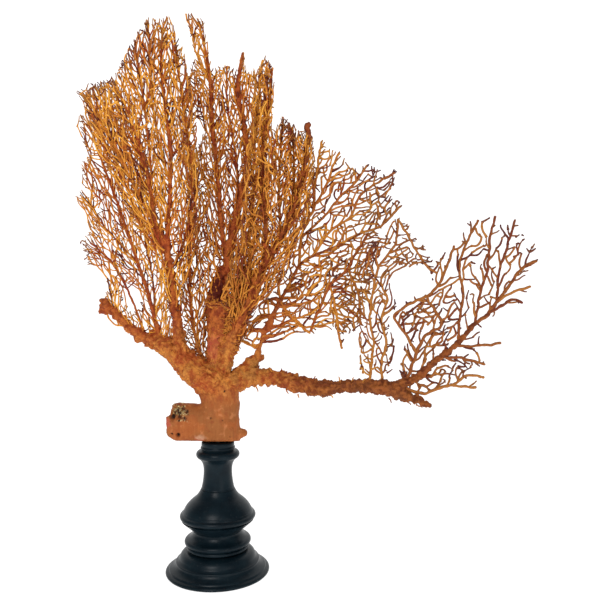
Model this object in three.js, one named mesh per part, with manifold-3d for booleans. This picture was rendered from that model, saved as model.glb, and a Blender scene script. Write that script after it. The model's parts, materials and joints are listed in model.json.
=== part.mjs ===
// A dried sea fan, cut off flat at its trunk and pinned on a turned, black-painted wooden stand.
// Millimetres, +Z up, the front faces -Y. The origin is the centre of the stand's underside.
// The fan is drawn on its front elevation: every limb, vein and outline is a list of x and z points,
// and each blade of the fan has its own depth, so that the blades stand before and behind each other.
import * as THREE from "three";
import { mergeVertices } from "three/addons/utils/BufferGeometryUtils.js";
import Module from "manifold-3d";

const wasm = await Module();
wasm.setup();

// The stand, turned from one length of wood.
const STAND_HEIGHT = 135.6;
const FOOT_RADIUS = 54;
const WAIST_RADIUS = 25.6;
const BODY_RADIUS = 39.5;
const NECK_RADIUS = 14.8;
const COLLAR_RADIUS = 22.9;
const TOP_RADIUS = 17;
const STAND_SIDES = 20;

// The steel pin that holds the trunk on the stand.
const PIN_RADIUS = 3;
const PIN_BOTTOM = 95;
const PIN_TOP = 168;
const PIN_SIDES = 10;

// The trunk is sawn off level, just clear of the stand's top.
const GAP = 0.3;
const CUT_HEIGHT = STAND_HEIGHT + GAP;
const TRUNK_DEPTH_SHARE = 0.84;

// The viewer that the front elevation is drawn for: straight in front of this point, this far away.
const EYE_X = 86.4;
const EYE_Z = 283.9;
const EYE_DISTANCE = 673.7;

// Twigs, as few and as thick as the solid needs to show a fan from a step away.
const TWIG_CLEARANCE = 7;
const TWIG_STEP = 18;
const TWIG_STARTS = 17;
const TWIG_MIN_STEPS = 2;
const TWIG_RADIUS = 1.5;
const TWIG_TIP_RADIUS = 0.8;
const BRANCH_ANGLE = 0.7;
const HEADING_PULL = 0.45;
const WANDER = 0.3;
const LAST_TWIG_LENGTH = 42;
const LAST_TWIG_ANGLE = 1;
const LIMB_SIDES = 8;
const VEIN_SIDES = 4;
const TWIG_SIDES = 3;
const LIMB_MIN_RADIUS = 4;

const CORAL = { color: 0xb5652b, roughness: 0.85, metalness: 0 };
const BLACK_PAINT = { color: 0x16191c, roughness: 0.4, metalness: 0 };
const STEEL = { color: 0x9a9a98, roughness: 0.35, metalness: 1 };

// Seeded random numbers between 0 and 1, so that the same twigs grow every time.
function randomFrom(seed) {
  let state = seed;
  return () => {
    state = (state * 1664525 + 1013904223) % 4294967296;
    return state / 4294967296;
  };
}

// The solid of a closed three.js geometry.
function solidOf(geometry) {
  const bare = geometry.clone();
  bare.deleteAttribute("normal");
  bare.deleteAttribute("uv");
  const merged = mergeVertices(bare, 1e-3);
  return new wasm.Manifold(
    new wasm.Mesh({
      numProp: 3,
      vertProperties: new Float32Array(merged.attributes.position.array),
      triVerts: new Uint32Array(merged.index.array),
    }),
  );
}

function geometryOf(solid) {
  const mesh = solid.getMesh();
  const geometry = new THREE.BufferGeometry();
  geometry.setAttribute("position", new THREE.BufferAttribute(mesh.vertProperties, 3));
  geometry.setIndex(new THREE.BufferAttribute(mesh.triVerts, 1));
  return geometry;
}

function meshOf(name, solid, finish) {
  const mesh = new THREE.Mesh(geometryOf(solid), new THREE.MeshStandardMaterial(finish));
  mesh.name = name;
  return mesh;
}

// Where a point of the front elevation lies once it is set back along the line of sight.
function setBack(x, z, depth) {
  const grow = 1 + depth / EYE_DISTANCE;
  return new THREE.Vector3(EYE_X + (x - EYE_X) * grow, depth, EYE_Z + (z - EYE_Z) * grow);
}

// A closed tube with a radius at each of its points, straight between them.
function tube(points, radii, sides, depthShare = 1) {
  const position = [];
  const index = [];
  const along = points.map((p, i) =>
    points[Math.min(i + 1, points.length - 1)].clone().sub(points[Math.max(i - 1, 0)]).normalize(),
  );
  points.forEach((p, i) => {
    const across = new THREE.Vector3().crossVectors(along[i], new THREE.Vector3(0, 1, 0)).normalize();
    const outward = new THREE.Vector3().crossVectors(along[i], across);
    for (let s = 0; s < sides; s++) {
      const turn = (2 * Math.PI * s) / sides;
      const v = p
        .clone()
        .addScaledVector(across, radii[i] * Math.cos(turn))
        .addScaledVector(outward, radii[i] * depthShare * Math.sin(turn));
      position.push(v.x, v.y, v.z);
    }
  });
  const last = points.length - 1;
  for (let i = 0; i < last; i++)
    for (let s = 0; s < sides; s++) {
      const next = (s + 1) % sides;
      const [a, b, c, d] = [i * sides + s, i * sides + next, (i + 1) * sides + s, (i + 1) * sides + next];
      index.push(a, b, d, a, d, c);
    }
  for (let s = 1; s < sides - 1; s++) {
    index.push(0, s + 1, s);
    index.push(last * sides, last * sides + s, last * sides + s + 1);
  }
  const geometry = new THREE.BufferGeometry();
  geometry.setAttribute("position", new THREE.Float32BufferAttribute(position, 3));
  geometry.setIndex(index);
  return solidOf(geometry);
}

// A limb or vein as a solid. Each of its points is [x, z, radius] on the front elevation.
function limbSolid(points, depthAt, extra = 0, depthShare = 1) {
  const thick = Math.max(...points.map((p) => p[2])) >= LIMB_MIN_RADIUS;
  return tube(
    points.map(([x, z]) => setBack(x, z, depthAt(x, z))),
    points.map((p) => p[2] + extra),
    thick ? LIMB_SIDES : VEIN_SIDES,
    depthShare,
  );
}

function insideOutline(x, z, outline) {
  let inside = false;
  outline.forEach(([ax, az], i) => {
    const [bx, bz] = outline[(i + 1) % outline.length];
    if (az > z !== bz > z && x < ax + ((z - az) * (bx - ax)) / (bz - az)) inside = !inside;
  });
  return inside;
}

const outwardFrom = (focus, x, z) => Math.atan2(z - focus[1], x - focus[0]);
const turnBetween = (from, to) => Math.atan2(Math.sin(to - from), Math.cos(to - from));

// Points along a line, close enough together to keep other twigs off it.
function pointsAlong([ax, az], [bx, bz], owner) {
  const steps = Math.ceil(Math.hypot(bx - ax, bz - az) / (TWIG_CLEARANCE / 2));
  return Array.from({ length: steps }, (_, i) => {
    const share = (i + 1) / steps;
    return { x: ax + (bx - ax) * share, z: az + (bz - az) * share, owner };
  });
}

// Where twigs start: along each vein, on its two sides in turn, and at its end.
function startingTips(blade, random) {
  const tips = [];
  blade.veins.forEach((vein, v) => {
    let side = 1;
    vein.slice(1).forEach(([bx, bz], i) => {
      const [ax, az] = vein[i];
      const length = Math.hypot(bx - ax, bz - az);
      for (let s = (TWIG_STARTS / 2) * random(); s < length; s += TWIG_STARTS / 2) {
        const start = [ax + ((bx - ax) * s) / length, az + ((bz - az) * s) / length];
        const heading = Math.atan2(bz - az, bx - ax) + side * BRANCH_ANGLE;
        tips.push({ points: [start], heading, parent: v, owner: Symbol() });
        side = -side;
      }
    });
    const end = vein.at(-1).slice(0, 2);
    tips.push({ points: [end], heading: outwardFrom(blade.focus, ...end), parent: v, owner: Symbol() });
  });
  return tips;
}

// Twigs turn outwards from the blade's focus, keep clear of each other, branch where there is room,
// and stop at the outline. Each one is a list of [x, z] points.
function growTwigs(blade) {
  const random = randomFrom(blade.seed);
  const alongVein = (vein, v) => vein.slice(1).flatMap((b, i) => pointsAlong(vein[i], b, v));
  const taken = blade.veins.flatMap(alongVein);
  const tips = startingTips(blade, random);
  const twigs = [];
  const isOpen = (x, z) =>
    insideOutline(x, z, blade.outline) && !(blade.gaps ?? []).some((gap) => insideOutline(x, z, gap));
  const isClose = (t, p) => Math.hypot(t.x - p.x, t.z - p.z) < TWIG_CLEARANCE;
  const isCrowded = (points, parent) =>
    points.some((p) => taken.some((t) => t.owner !== parent && isClose(t, p)));
  while (tips.length) {
    const tip = tips.shift();
    const own = [];
    for (;;) {
      const [x, z] = tip.points.at(-1);
      const outward = turnBetween(tip.heading, outwardFrom(blade.focus, x, z));
      tip.heading += HEADING_PULL * outward + WANDER * (random() - 0.5);
      const next = [x + TWIG_STEP * Math.cos(tip.heading), z + TWIG_STEP * Math.sin(tip.heading)];
      const step = pointsAlong([x, z], next, tip.owner);
      if (!isOpen(...next) || isCrowded(step, tip.points.length === 1 ? tip.parent : null)) break;
      own.push(...step);
      tip.points.push(next);
    }
    if (tip.points.length <= TWIG_MIN_STEPS) continue;
    taken.push(...own);
    twigs.push(tip.points);
    tip.points.slice(1, -1).forEach((point, i) => {
      const along = Math.atan2(point[1] - tip.points[i][1], point[0] - tip.points[i][0]);
      const heading = along + (i % 2 ? -BRANCH_ANGLE : BRANCH_ANGLE);
      tips.push({ points: [point], heading, parent: tip.owner, owner: Symbol() });
    });
  }
  return [...twigs, ...lastTwigs(blade, twigs)];
}

// A straight twig to each corner of the outline that the others leave bare.
function lastTwigs(blade, twigs) {
  const grown = [...blade.veins.flatMap((vein) => vein.slice(1)), ...twigs.flat()];
  return blade.outline.flatMap(([x, z]) => {
    const reach = (point) => Math.hypot(point[0] - x, point[1] - z);
    const near = grown.reduce((nearest, point) => (reach(point) < reach(nearest) ? point : nearest));
    const length = reach(near);
    const heading = Math.atan2(z - near[1], x - near[0]);
    const astray = Math.abs(turnBetween(heading, outwardFrom(blade.focus, ...near))) > LAST_TWIG_ANGLE;
    if (astray || length < TWIG_CLEARANCE / 2 || length > LAST_TWIG_LENGTH) return [];
    grown.push([x, z]);
    return [[near.slice(0, 2), [x, z]]];
  });
}

// The veins and twigs of one blade, joined.
function bladeSolid(blade) {
  const veins = blade.veins.map((vein) => limbSolid(vein, blade.depthAt));
  const twigs = growTwigs(blade).map((points) => {
    const last = points.length - 1;
    const radii = points.map((p, i) => TWIG_RADIUS + ((TWIG_TIP_RADIUS - TWIG_RADIUS) * i) / last);
    return tube(points.map(([x, z]) => setBack(x, z, blade.depthAt(x, z))), radii, TWIG_SIDES);
  });
  return wasm.Manifold.union([...veins, ...twigs]);
}

// A bead or cove of the turning, as points on an arc in the profile.
function arc(centreR, centreZ, radius, fromDeg, toDeg, steps) {
  return Array.from({ length: steps + 1 }, (_, i) => {
    const a = THREE.MathUtils.degToRad(fromDeg + ((toDeg - fromDeg) * i) / steps);
    return new THREE.Vector2(centreR + radius * Math.cos(a), centreZ + radius * Math.sin(a));
  });
}

function standProfile() {
  const point = (r, z) => new THREE.Vector2(r, z);
  return [
    point(0, 0),
    point(FOOT_RADIUS - 1.4, 0),
    point(FOOT_RADIUS, 1.6),
    point(FOOT_RADIUS - 0.4, 3.8),
    point(FOOT_RADIUS - 3.2, 6),
    point(46.5, 10.5),
    point(42, 13),
    point(39.8, 17),
    point(37.4, 20.6),
    point(34, 22.6),
    point(29, 23),
    point(29, 25),
    ...arc(30.8, 27.2, 2.2, -60, 60, 2),
    ...arc(31, 32.2, 3.6, -50, 50, 3),
    point(28.5, 37),
    point(WAIST_RADIUS, 41),
    point(WAIST_RADIUS, 43.6),
    point(BODY_RADIUS - 1.6, 56.4),
    ...arc(BODY_RADIUS - 3, 59.4, 3, -40, 50, 2),
    point(36, 65.5),
    point(32, 71.5),
    point(25, 76.4),
    point(20.5, 81),
    point(17.2, 88),
    point(15.3, 97),
    point(NECK_RADIUS, 106),
    point(16, 113.5),
    point(19.4, 118.6),
    ...arc(COLLAR_RADIUS - 4.3, 123.9, 4.3, -40, 60, 3),
    point(16.2, 128.6),
    point(TOP_RADIUS + 0.4, 131.2),
    point(TOP_RADIUS - 0.4, 134.4),
    point(TOP_RADIUS - 0.4, STAND_HEIGHT),
    point(0, STAND_HEIGHT),
  ];
}

function pinSolid(extra = 0) {
  const radius = PIN_RADIUS + extra;
  const pin = new THREE.CylinderGeometry(radius, radius, PIN_TOP - PIN_BOTTOM + 2 * extra, PIN_SIDES);
  pin.rotateX(Math.PI / 2).translate(0, 0, (PIN_TOP + PIN_BOTTOM) / 2);
  return solidOf(pin);
}

function standSolid() {
  const turned = new THREE.LatheGeometry(standProfile(), STAND_SIDES);
  return solidOf(turned.rotateX(Math.PI / 2)).subtract(pinSolid(GAP));
}

// Limbs and veins, each point [x, z, radius] on the front elevation.
const TRUNK = [
  [3, 120, 21], [3, 140, 21], [3, 165, 20], [2, 182, 20.5], [-1, 196, 22], [0, 208, 17],
];
const STUMP = [
  [4, 155, 19], [-20, 156, 18.5], [-38, 157, 19.5], [-46, 158, 17], [-50, 158, 10],
];
const NUB = [
  [18, 146, 8], [26, 143, 5.5], [30, 142, 2.5],
];
const level = () => 0;

const LEFT_BLADE = {
  seed: 11,
  focus: [-20, 190],
  depthAt: (x, z) => 4 - 0.24 * (x + 40) + 8 * Math.sin((z - 250) / 90),
  veins: [
    [
      [-6, 197, 17], [-24, 209, 15], [-40, 224, 13], [-54, 236, 10.5], [-72, 242, 7],
      [-88, 251, 5.6], [-102, 264, 5], [-113, 273, 5], [-119, 277, 6.5], [-122, 278, 4],
    ],
    [
      [-60, 240, 3.2], [-66, 262, 2.6], [-74, 292, 2.2], [-84, 322, 2], [-95, 355, 1.9],
      [-108, 392, 1.7], [-122, 430, 1.5], [-136, 470, 1.2],
    ],
    [
      [-84, 322, 2], [-100, 340, 1.7], [-120, 362, 1.5], [-138, 392, 1.2],
    ],
    [
      [-76, 243, 2.4], [-84, 268, 2], [-97, 300, 1.8], [-114, 326, 1.5], [-134, 344, 1.2],
    ],
    [
      [-108, 268, 2.6], [-112, 286, 2], [-116, 306, 1.4],
    ],
    [
      [-66, 262, 2.4], [-68, 300, 2.1], [-76, 345, 1.9], [-86, 395, 1.7], [-98, 440, 1.5],
      [-112, 490, 1.2],
    ],
  ],
  outline: [
    [-122, 280], [-118, 300], [-122, 315], [-138, 322], [-146, 345], [-137, 360], [-142, 378],
    [-153, 392], [-143, 406], [-145, 428], [-138, 442], [-150, 475], [-142, 490], [-152, 506],
    [-135, 514], [-112, 520], [-92, 500], [-76, 460], [-66, 410], [-60, 350], [-58, 300],
    [-56, 250], [-75, 248], [-90, 257], [-103, 270],
  ],
  gaps: [
    [
      [-103, 296], [-90, 299], [-82, 285], [-84, 268], [-94, 266],
    ],
  ],
};

const STEM_BLADE = {
  seed: 23,
  focus: [-46, 240],
  depthAt: (x, z) => -6 - 0.1 * (z - 250) + 0.1 * (x + 50),
  veins: [
    [
      [-38, 226, 8.5], [-41, 244, 7], [-44, 266, 5.6], [-47, 290, 5.2], [-50, 315, 5],
      [-53, 340, 4.5], [-52, 370, 3.4], [-50, 405, 2.6], [-50, 445, 2.2], [-56, 490, 2],
      [-60, 535, 1.8], [-57, 578, 1.3],
    ],
    [
      [-53, 335, 3.6], [-64, 358, 3], [-70, 390, 2.4], [-78, 430, 2], [-92, 475, 1.7],
      [-108, 515, 1.2],
    ],
    [
      [-70, 390, 2], [-72, 440, 1.8], [-78, 490, 1.6], [-84, 530, 1.4], [-88, 560, 1],
    ],
    [
      [-64, 358, 2], [-84, 395, 1.7], [-104, 435, 1.5], [-126, 478, 1.3], [-142, 502, 1],
    ],
    [
      [-50, 405, 1.8], [-62, 450, 1.7], [-70, 500, 1.5], [-72, 545, 1.3], [-74, 580, 1],
    ],
    [
      [-48, 318, 2.6], [-36, 345, 2.2], [-28, 385, 1.9], [-28, 430, 1.7], [-36, 480, 1.5],
      [-42, 530, 1.3], [-46, 568, 1],
    ],
  ],
  outline: [
    [-50, 262], [-58, 300], [-68, 330], [-88, 362], [-108, 400], [-128, 440], [-140, 480],
    [-148, 504], [-128, 514], [-112, 522], [-103, 538], [-95, 554], [-84, 572], [-75, 584],
    [-62, 582], [-52, 588], [-44, 570], [-36, 550], [-28, 515], [-22, 480], [-18, 420], [-20, 360],
    [-26, 320], [-36, 290], [-38, 265],
  ],
};

const BACK_BLADE = {
  seed: 37,
  focus: [0, 190],
  depthAt: (x, z) => 13 + 0.03 * (z - 200) - 0.08 * (x - 10),
  veins: [
    [
      [2, 198, 11], [3, 240, 8], [6, 290, 6.5], [13, 340, 5.5], [23, 390, 5], [31, 430, 4.5],
      [27, 470, 3.8], [21, 505, 3.2], [26, 546, 2],
    ],
    [
      [9, 315, 3.5], [3, 370, 3], [-1, 420, 2.8], [-6, 470, 2.6], [-8, 515, 2.5], [-14, 550, 1.9],
      [-21, 581, 1.2],
    ],
    [
      [-8, 515, 2], [-22, 540, 1.5], [-27, 565, 1.2], [-35, 588, 1],
    ],
    [
      [-10, 204, 5], [-22, 238, 2.4], [-28, 275, 2], [-30, 330, 1.8], [-24, 390, 1.6],
      [-30, 440, 1.4], [-36, 490, 1.2],
    ],
    [
      [23, 390, 2.8], [18, 440, 2.2], [10, 490, 1.8], [9, 532, 1.2],
    ],
    [
      [31, 430, 2.4], [42, 470, 2], [44, 530, 1.2],
    ],
  ],
  outline: [
    [-14, 214], [-30, 234], [-38, 262], [-40, 300], [-36, 340], [-34, 400], [-40, 450], [-42, 500],
    [-32, 520], [-26, 540], [-36, 592], [-28, 592], [-20, 584], [-14, 584], [-10, 552], [-4, 530],
    [10, 536], [20, 530], [26, 548], [32, 526], [46, 534], [52, 520], [56, 480], [54, 440],
    [56, 400], [46, 350], [36, 310], [24, 285], [-9, 285], [-10, 225],
  ],
  gaps: [
    [
      [-32, 448], [-24, 474], [-14, 464], [-22, 446],
    ],
  ],
};

const FRONT_BLADE = {
  seed: 41,
  focus: [24, 210],
  depthAt: (x, z) => -7 - 0.06 * (z - 230) - 0.03 * (x - 10),
  veins: [
    [
      [4, 212, 10], [13, 240, 10], [25, 264, 8.5], [36, 292, 7.5], [50, 322, 7], [66, 350, 6.5],
      [79, 380, 6.5], [88, 412, 5.5], [94, 442, 4.5], [94, 471, 3],
    ],
    [
      [50, 322, 4], [50, 365, 3.6], [46, 410, 3.2], [48, 450, 3], [54, 492, 2.4], [57, 530, 1.5],
    ],
    [
      [66, 350, 3], [64, 395, 2.4], [66, 440, 2], [69, 478, 1.2],
    ],
    [
      [79, 380, 2.6], [80, 425, 2], [79, 468, 1.2],
    ],
    [
      [36, 292, 3], [33, 340, 2.4], [36, 390, 2], [38, 440, 1.8], [42, 490, 1.5], [47, 540, 1],
    ],
  ],
  outline: [
    [20, 262], [16, 290], [22, 330], [26, 380], [28, 430], [34, 480], [40, 525], [50, 546],
    [60, 534], [60, 490], [56, 460], [68, 480], [80, 472], [90, 460], [94, 473], [100, 460],
    [104, 430], [100, 400], [93, 375], [84, 350], [74, 328], [60, 305], [48, 285], [38, 265],
  ],
};

const RIGHT_BLADE = {
  seed: 53,
  focus: [40, 235],
  depthAt: (x, z) => 3 + 0.13 * (x - 22) + 6 * Math.sin((z - 230) / 60),
  veins: [
    [
      [16, 196, 11], [28, 208, 8.5], [37, 219, 6.6], [43, 231, 4.2], [48, 248, 3.2], [54, 266, 3.6],
      [63, 284, 3.8], [76, 302, 3.8], [86, 320, 3.8], [100, 330, 2.6], [124, 340, 2],
      [150, 354, 1.8], [172, 362, 1.5], [193, 384, 1],
    ],
    [
      [40, 223, 4], [48, 226, 3],
    ],
    [
      [86, 320, 3], [88, 350, 2.4], [100, 378, 2], [114, 406, 1.7], [128, 440, 1],
    ],
    [
      [88, 350, 2], [112, 372, 1.8], [128, 392, 1.7], [141, 404, 1.5], [158, 427, 1],
    ],
    [
      [100, 330, 2], [118, 356, 1.7], [140, 372, 1.6], [152, 396, 1.5], [188, 420, 1],
    ],
    [
      [63, 284, 3], [76, 268, 3], [87, 258, 2.8], [97, 248, 2.4],
    ],
    [
      [97, 248, 2.4], [106, 272, 2.4], [118, 298, 2.6], [136, 316, 2.8], [148, 338, 2.6],
      [158, 352, 2],
    ],
    [
      [118, 298, 2], [124, 274, 1.8], [127, 250, 1.6], [132, 232, 1.6],
    ],
    [
      [136, 316, 1.8], [148, 288, 1.7], [151, 258, 1.5],
    ],
    [
      [54, 266, 2], [40, 262, 1.6], [26, 246, 1.2],
    ],
    [
      [100, 378, 1.6], [104, 420, 1.4], [109, 452, 1],
    ],
  ],
  outline: [
    [17, 240], [30, 254], [40, 272], [50, 290], [64, 308], [78, 340], [90, 380], [100, 430],
    [110, 457], [118, 446], [134, 444], [134, 428], [150, 426], [160, 432], [176, 420], [191, 426],
    [190, 404], [180, 398], [197, 386], [186, 370], [164, 356], [160, 330], [158, 300], [156, 270],
    [152, 250], [138, 246], [132, 230], [124, 250], [110, 254], [98, 244], [84, 258], [74, 264],
    [60, 246], [46, 240],
  ],
};

const ARM = {
  depthAt: (x) => -0.055 * x,
  limb: [
    [12, 197, 13], [36, 203, 9.5], [60, 202, 8], [80, 196, 9], [98, 193, 8.6], [112, 191, 7.4],
    [132, 193, 6.5], [158, 193, 6.8], [180, 191, 8], [192, 187, 7], [206, 180, 4.6],
    [223, 173, 3.2],
  ],
};

const ARM_BLADE = {
  seed: 67,
  focus: [186, 180],
  depthAt: (x, z) => -11 + 0.12 * (x - 185) + 0.05 * (z - 200),
  veins: [
    [
      [186, 193, 6.5], [200, 197, 5.6], [213, 206, 5], [226, 217, 4.6], [240, 228, 4.2],
      [254, 240, 4], [270, 258, 3.8], [283, 268, 3.4], [293, 281, 3], [306, 298, 2.8],
      [318, 315, 2.6], [336, 326, 2.4],
    ],
    [
      [196, 196, 3.4], [203, 211, 3], [209, 228, 2.8], [218, 246, 2.6], [235, 257, 2.4],
      [228, 274, 2], [221, 285, 2.2], [232, 300, 2], [241, 318, 1.8], [250, 344, 1.6],
    ],
    [
      [209, 228, 2], [196, 250, 1.6], [186, 266, 1.5], [198, 278, 1.8], [221, 288, 1.8],
    ],
    [
      [254, 240, 2], [254, 262, 1.8], [258, 290, 1.7], [254, 318, 1.6], [262, 345, 1.4],
      [274, 370, 1],
    ],
    [
      [270, 258, 2], [276, 290, 1.7], [284, 318, 1.6], [286, 345, 1.4], [293, 374, 1],
    ],
    [
      [293, 281, 2], [296, 312, 1.6], [303, 335, 1.4], [314, 370, 1],
    ],
    [
      [283, 268, 2.2], [300, 279, 2], [312, 285, 1.8], [322, 281, 1.2],
    ],
    [
      [293, 281, 1.8], [310, 292, 1.6], [330, 298, 1.2],
    ],
    [
      [250, 236, 1.8], [272, 236, 1.6], [298, 238, 1.2],
    ],
    [
      [236, 224, 2], [260, 222, 1.7], [282, 216, 1.2],
    ],
    [
      [196, 192, 3], [214, 186, 2.4], [232, 191, 2.6], [246, 194, 2.4], [262, 204, 1.6],
      [280, 203, 1],
    ],
    [
      [246, 194, 1.8], [272, 192, 1.2],
    ],
  ],
  outline: [
    [186, 204], [200, 250], [184, 262], [192, 284], [222, 296], [226, 330], [244, 336], [252, 348],
    [262, 370], [278, 374], [292, 378], [300, 366], [316, 374], [322, 352], [334, 350], [343, 330],
    [326, 312], [314, 298], [332, 298], [324, 278], [300, 276], [280, 256], [276, 244], [298, 240],
    [270, 232], [284, 216], [266, 208], [282, 203], [274, 190], [244, 188], [214, 182], [200, 188],
  ],
};

const RISER_BLADE = {
  seed: 79,
  focus: [165, 160],
  depthAt: (x, z) => -9 + 0.04 * (z - 200),
  veins: [
    [
      [160, 190, 3], [161, 215, 2.4], [164, 240, 2.2], [160, 266, 2.2], [163, 292, 2],
      [170, 318, 1.8], [186, 342, 1.6], [190, 370, 1],
    ],
    [
      [174, 190, 2.6], [172, 215, 2.2], [177, 240, 2], [172, 262, 1.8], [178, 284, 1.5],
      [172, 300, 1.2],
    ],
    [
      [190, 370, 1.3], [202, 348, 1.6], [218, 322, 1.8], [230, 312, 2],
    ],
  ],
  outline: [
    [150, 205], [152, 250], [156, 300], [162, 345], [176, 352], [186, 374], [198, 373], [208, 352],
    [232, 326], [232, 306], [214, 316], [188, 318], [180, 300], [190, 280], [180, 260], [188, 240],
    [184, 206],
  ],
};

const STUB = [
  [-2, 205, 11], [-1, 230, 11], [2, 255, 12], [2, 281, 12.5],
];
const stubDepth = () => -2;

// Everything at or below the saw cut.
function belowCut() {
  const slab = new THREE.BoxGeometry(200, 200, 100).translate(0, 0, CUT_HEIGHT - 50);
  return solidOf(slab);
}

function trunkSolid(extra = 0) {
  const share = TRUNK_DEPTH_SHARE;
  return wasm.Manifold.union([
    limbSolid(TRUNK, level, extra, share),
    limbSolid(STUMP, level, extra, share),
    limbSolid(NUB, level, extra, share),
  ]);
}

// A piece of the fan, cut off where it springs from the pieces it grows on, with a hair of clearance.
function cutAgainst(solid, parents) {
  const pieces = parents.reduce((left, parent) => left.subtract(parent), solid).decompose();
  return pieces.reduce((largest, piece) => (piece.volume() > largest.volume() ? piece : largest));
}

const limbOf = (blade, extra) => limbSolid(blade.veins[0], blade.depthAt, extra);
const fan = new THREE.Group();
const trunk = trunkSolid().subtract(belowCut()).subtract(pinSolid(GAP));
const trunkGrown = trunkSolid(GAP);
const leftGrown = limbOf(LEFT_BLADE, GAP);
const frontGrown = limbOf(FRONT_BLADE, GAP);
const backGrown = limbOf(BACK_BLADE, GAP);
const armGrown = limbSolid(ARM.limb, ARM.depthAt, GAP);
const brokenGrown = limbSolid(STUB, stubDepth, GAP);

const coral = [
  ["trunk", trunk],
  ["left_limb", cutAgainst(bladeSolid(LEFT_BLADE), [trunkGrown])],
  ["left_stem", cutAgainst(bladeSolid(STEM_BLADE), [trunkGrown, leftGrown])],
  ["back_stem", cutAgainst(bladeSolid(BACK_BLADE), [trunkGrown, leftGrown])],
  ["front_stem", cutAgainst(bladeSolid(FRONT_BLADE), [trunkGrown, leftGrown, backGrown])],
  ["broken_stem", cutAgainst(limbSolid(STUB, stubDepth), [trunkGrown, leftGrown, frontGrown, backGrown])],
  ["right_stem", cutAgainst(bladeSolid(RIGHT_BLADE), [trunkGrown, armGrown, frontGrown])],
  ["right_arm", cutAgainst(limbSolid(ARM.limb, ARM.depthAt), [trunkGrown, brokenGrown])],
  ["arm_fan", cutAgainst(bladeSolid(ARM_BLADE), [armGrown])],
  ["arm_riser", cutAgainst(bladeSolid(RISER_BLADE), [armGrown])],
];

fan.add(meshOf("stand", standSolid(), BLACK_PAINT));
fan.add(meshOf("mounting_pin", pinSolid(), STEEL));
coral.forEach(([name, solid]) => fan.add(meshOf(name, solid, CORAL)));

export default fan;
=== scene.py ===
# A dried sea fan with a sawn trunk, pinned on a turned stand of black-painted wood.
import collections
import json
import math
import random
import bpy
import numpy as np
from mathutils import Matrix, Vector, kdtree, noise

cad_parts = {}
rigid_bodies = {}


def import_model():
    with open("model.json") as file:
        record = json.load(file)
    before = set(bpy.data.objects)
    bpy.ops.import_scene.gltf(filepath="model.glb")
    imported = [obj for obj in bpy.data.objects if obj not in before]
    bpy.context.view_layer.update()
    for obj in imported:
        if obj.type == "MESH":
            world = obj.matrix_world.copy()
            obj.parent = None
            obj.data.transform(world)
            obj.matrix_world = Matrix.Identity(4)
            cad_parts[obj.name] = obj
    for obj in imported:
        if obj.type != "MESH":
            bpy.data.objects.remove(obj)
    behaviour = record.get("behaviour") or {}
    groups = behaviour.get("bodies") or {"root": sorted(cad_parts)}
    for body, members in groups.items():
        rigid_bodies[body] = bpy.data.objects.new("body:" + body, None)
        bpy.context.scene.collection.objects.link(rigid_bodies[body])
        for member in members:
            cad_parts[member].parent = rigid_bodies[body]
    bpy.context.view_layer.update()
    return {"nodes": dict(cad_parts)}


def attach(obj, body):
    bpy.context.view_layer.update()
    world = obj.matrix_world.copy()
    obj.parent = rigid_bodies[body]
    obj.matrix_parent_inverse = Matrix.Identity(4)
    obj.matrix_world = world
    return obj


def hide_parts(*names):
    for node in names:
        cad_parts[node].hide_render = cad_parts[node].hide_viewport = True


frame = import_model()
MM = 0.001

# Camera: level, at the angle and distance of the photo, a little right of the stand. Its place is in mm from
# the middle of the stand's underside, x to the right, y away from the viewer and z up.
EYE = (86.4, -673.7, 283.9)
LENS_MM = 38.4
SENSOR_MM = 36
bpy.ops.object.select_all(action="DESELECT")
bpy.ops.object.camera_add(location=[v * MM for v in EYE], rotation=(math.radians(90), 0, 0))
camera = bpy.context.object
camera.data.lens = LENS_MM
camera.data.sensor_width = SENSOR_MM
bpy.context.scene.camera = camera


# Floor and backdrop: one sheet of white paper that sweeps up behind the fan, its sizes in metres. The
# surround is white where the camera sees it, and dim where it lights the fan.
FLOOR_HALF = 6.0
SWEEP_START = 1.1
SWEEP_RADIUS = 1.6
SWEEP_STEPS = 16
SWEEP_HEIGHT = 5.0
PAPER_GREY = (0.5, 0.5, 0.5, 1)
PAPER_GLOW = 0.9
WHITE = (1, 1, 1, 1)
SURROUND_LIGHT = 0.22
NOISE_ROUGHNESS = 0.55


class Socket:
    """A value in a material: an output socket, with shader maths written as Python maths."""

    def __init__(self, paint, link):
        self.paint = paint
        self.link = link

    def maths(self, operation, *values):
        return self.paint.node("ShaderNodeMath", {"operation": operation}, dict(enumerate(values)))

    def __add__(self, other):
        return self.maths("ADD", self, other)

    def __sub__(self, other):
        return self.maths("SUBTRACT", self, other)

    def __rsub__(self, other):
        return self.maths("SUBTRACT", other, self)

    def __mul__(self, other):
        return self.maths("MULTIPLY", self, other)

    def clamped(self):
        return self.maths("MINIMUM", self.maths("MAXIMUM", self, 0.0), 1.0)

    def between(self, low, high):
        """0 up to low, 1 from high on, and a smooth step from one to the other."""
        sockets = {"Value": self, "From Min": low, "From Max": high}
        settings = {"interpolation_type": "SMOOTHSTEP"}
        return self.paint.node("ShaderNodeMapRange", settings, sockets, "Result")

    __radd__ = __add__
    __rmul__ = __mul__


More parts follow.
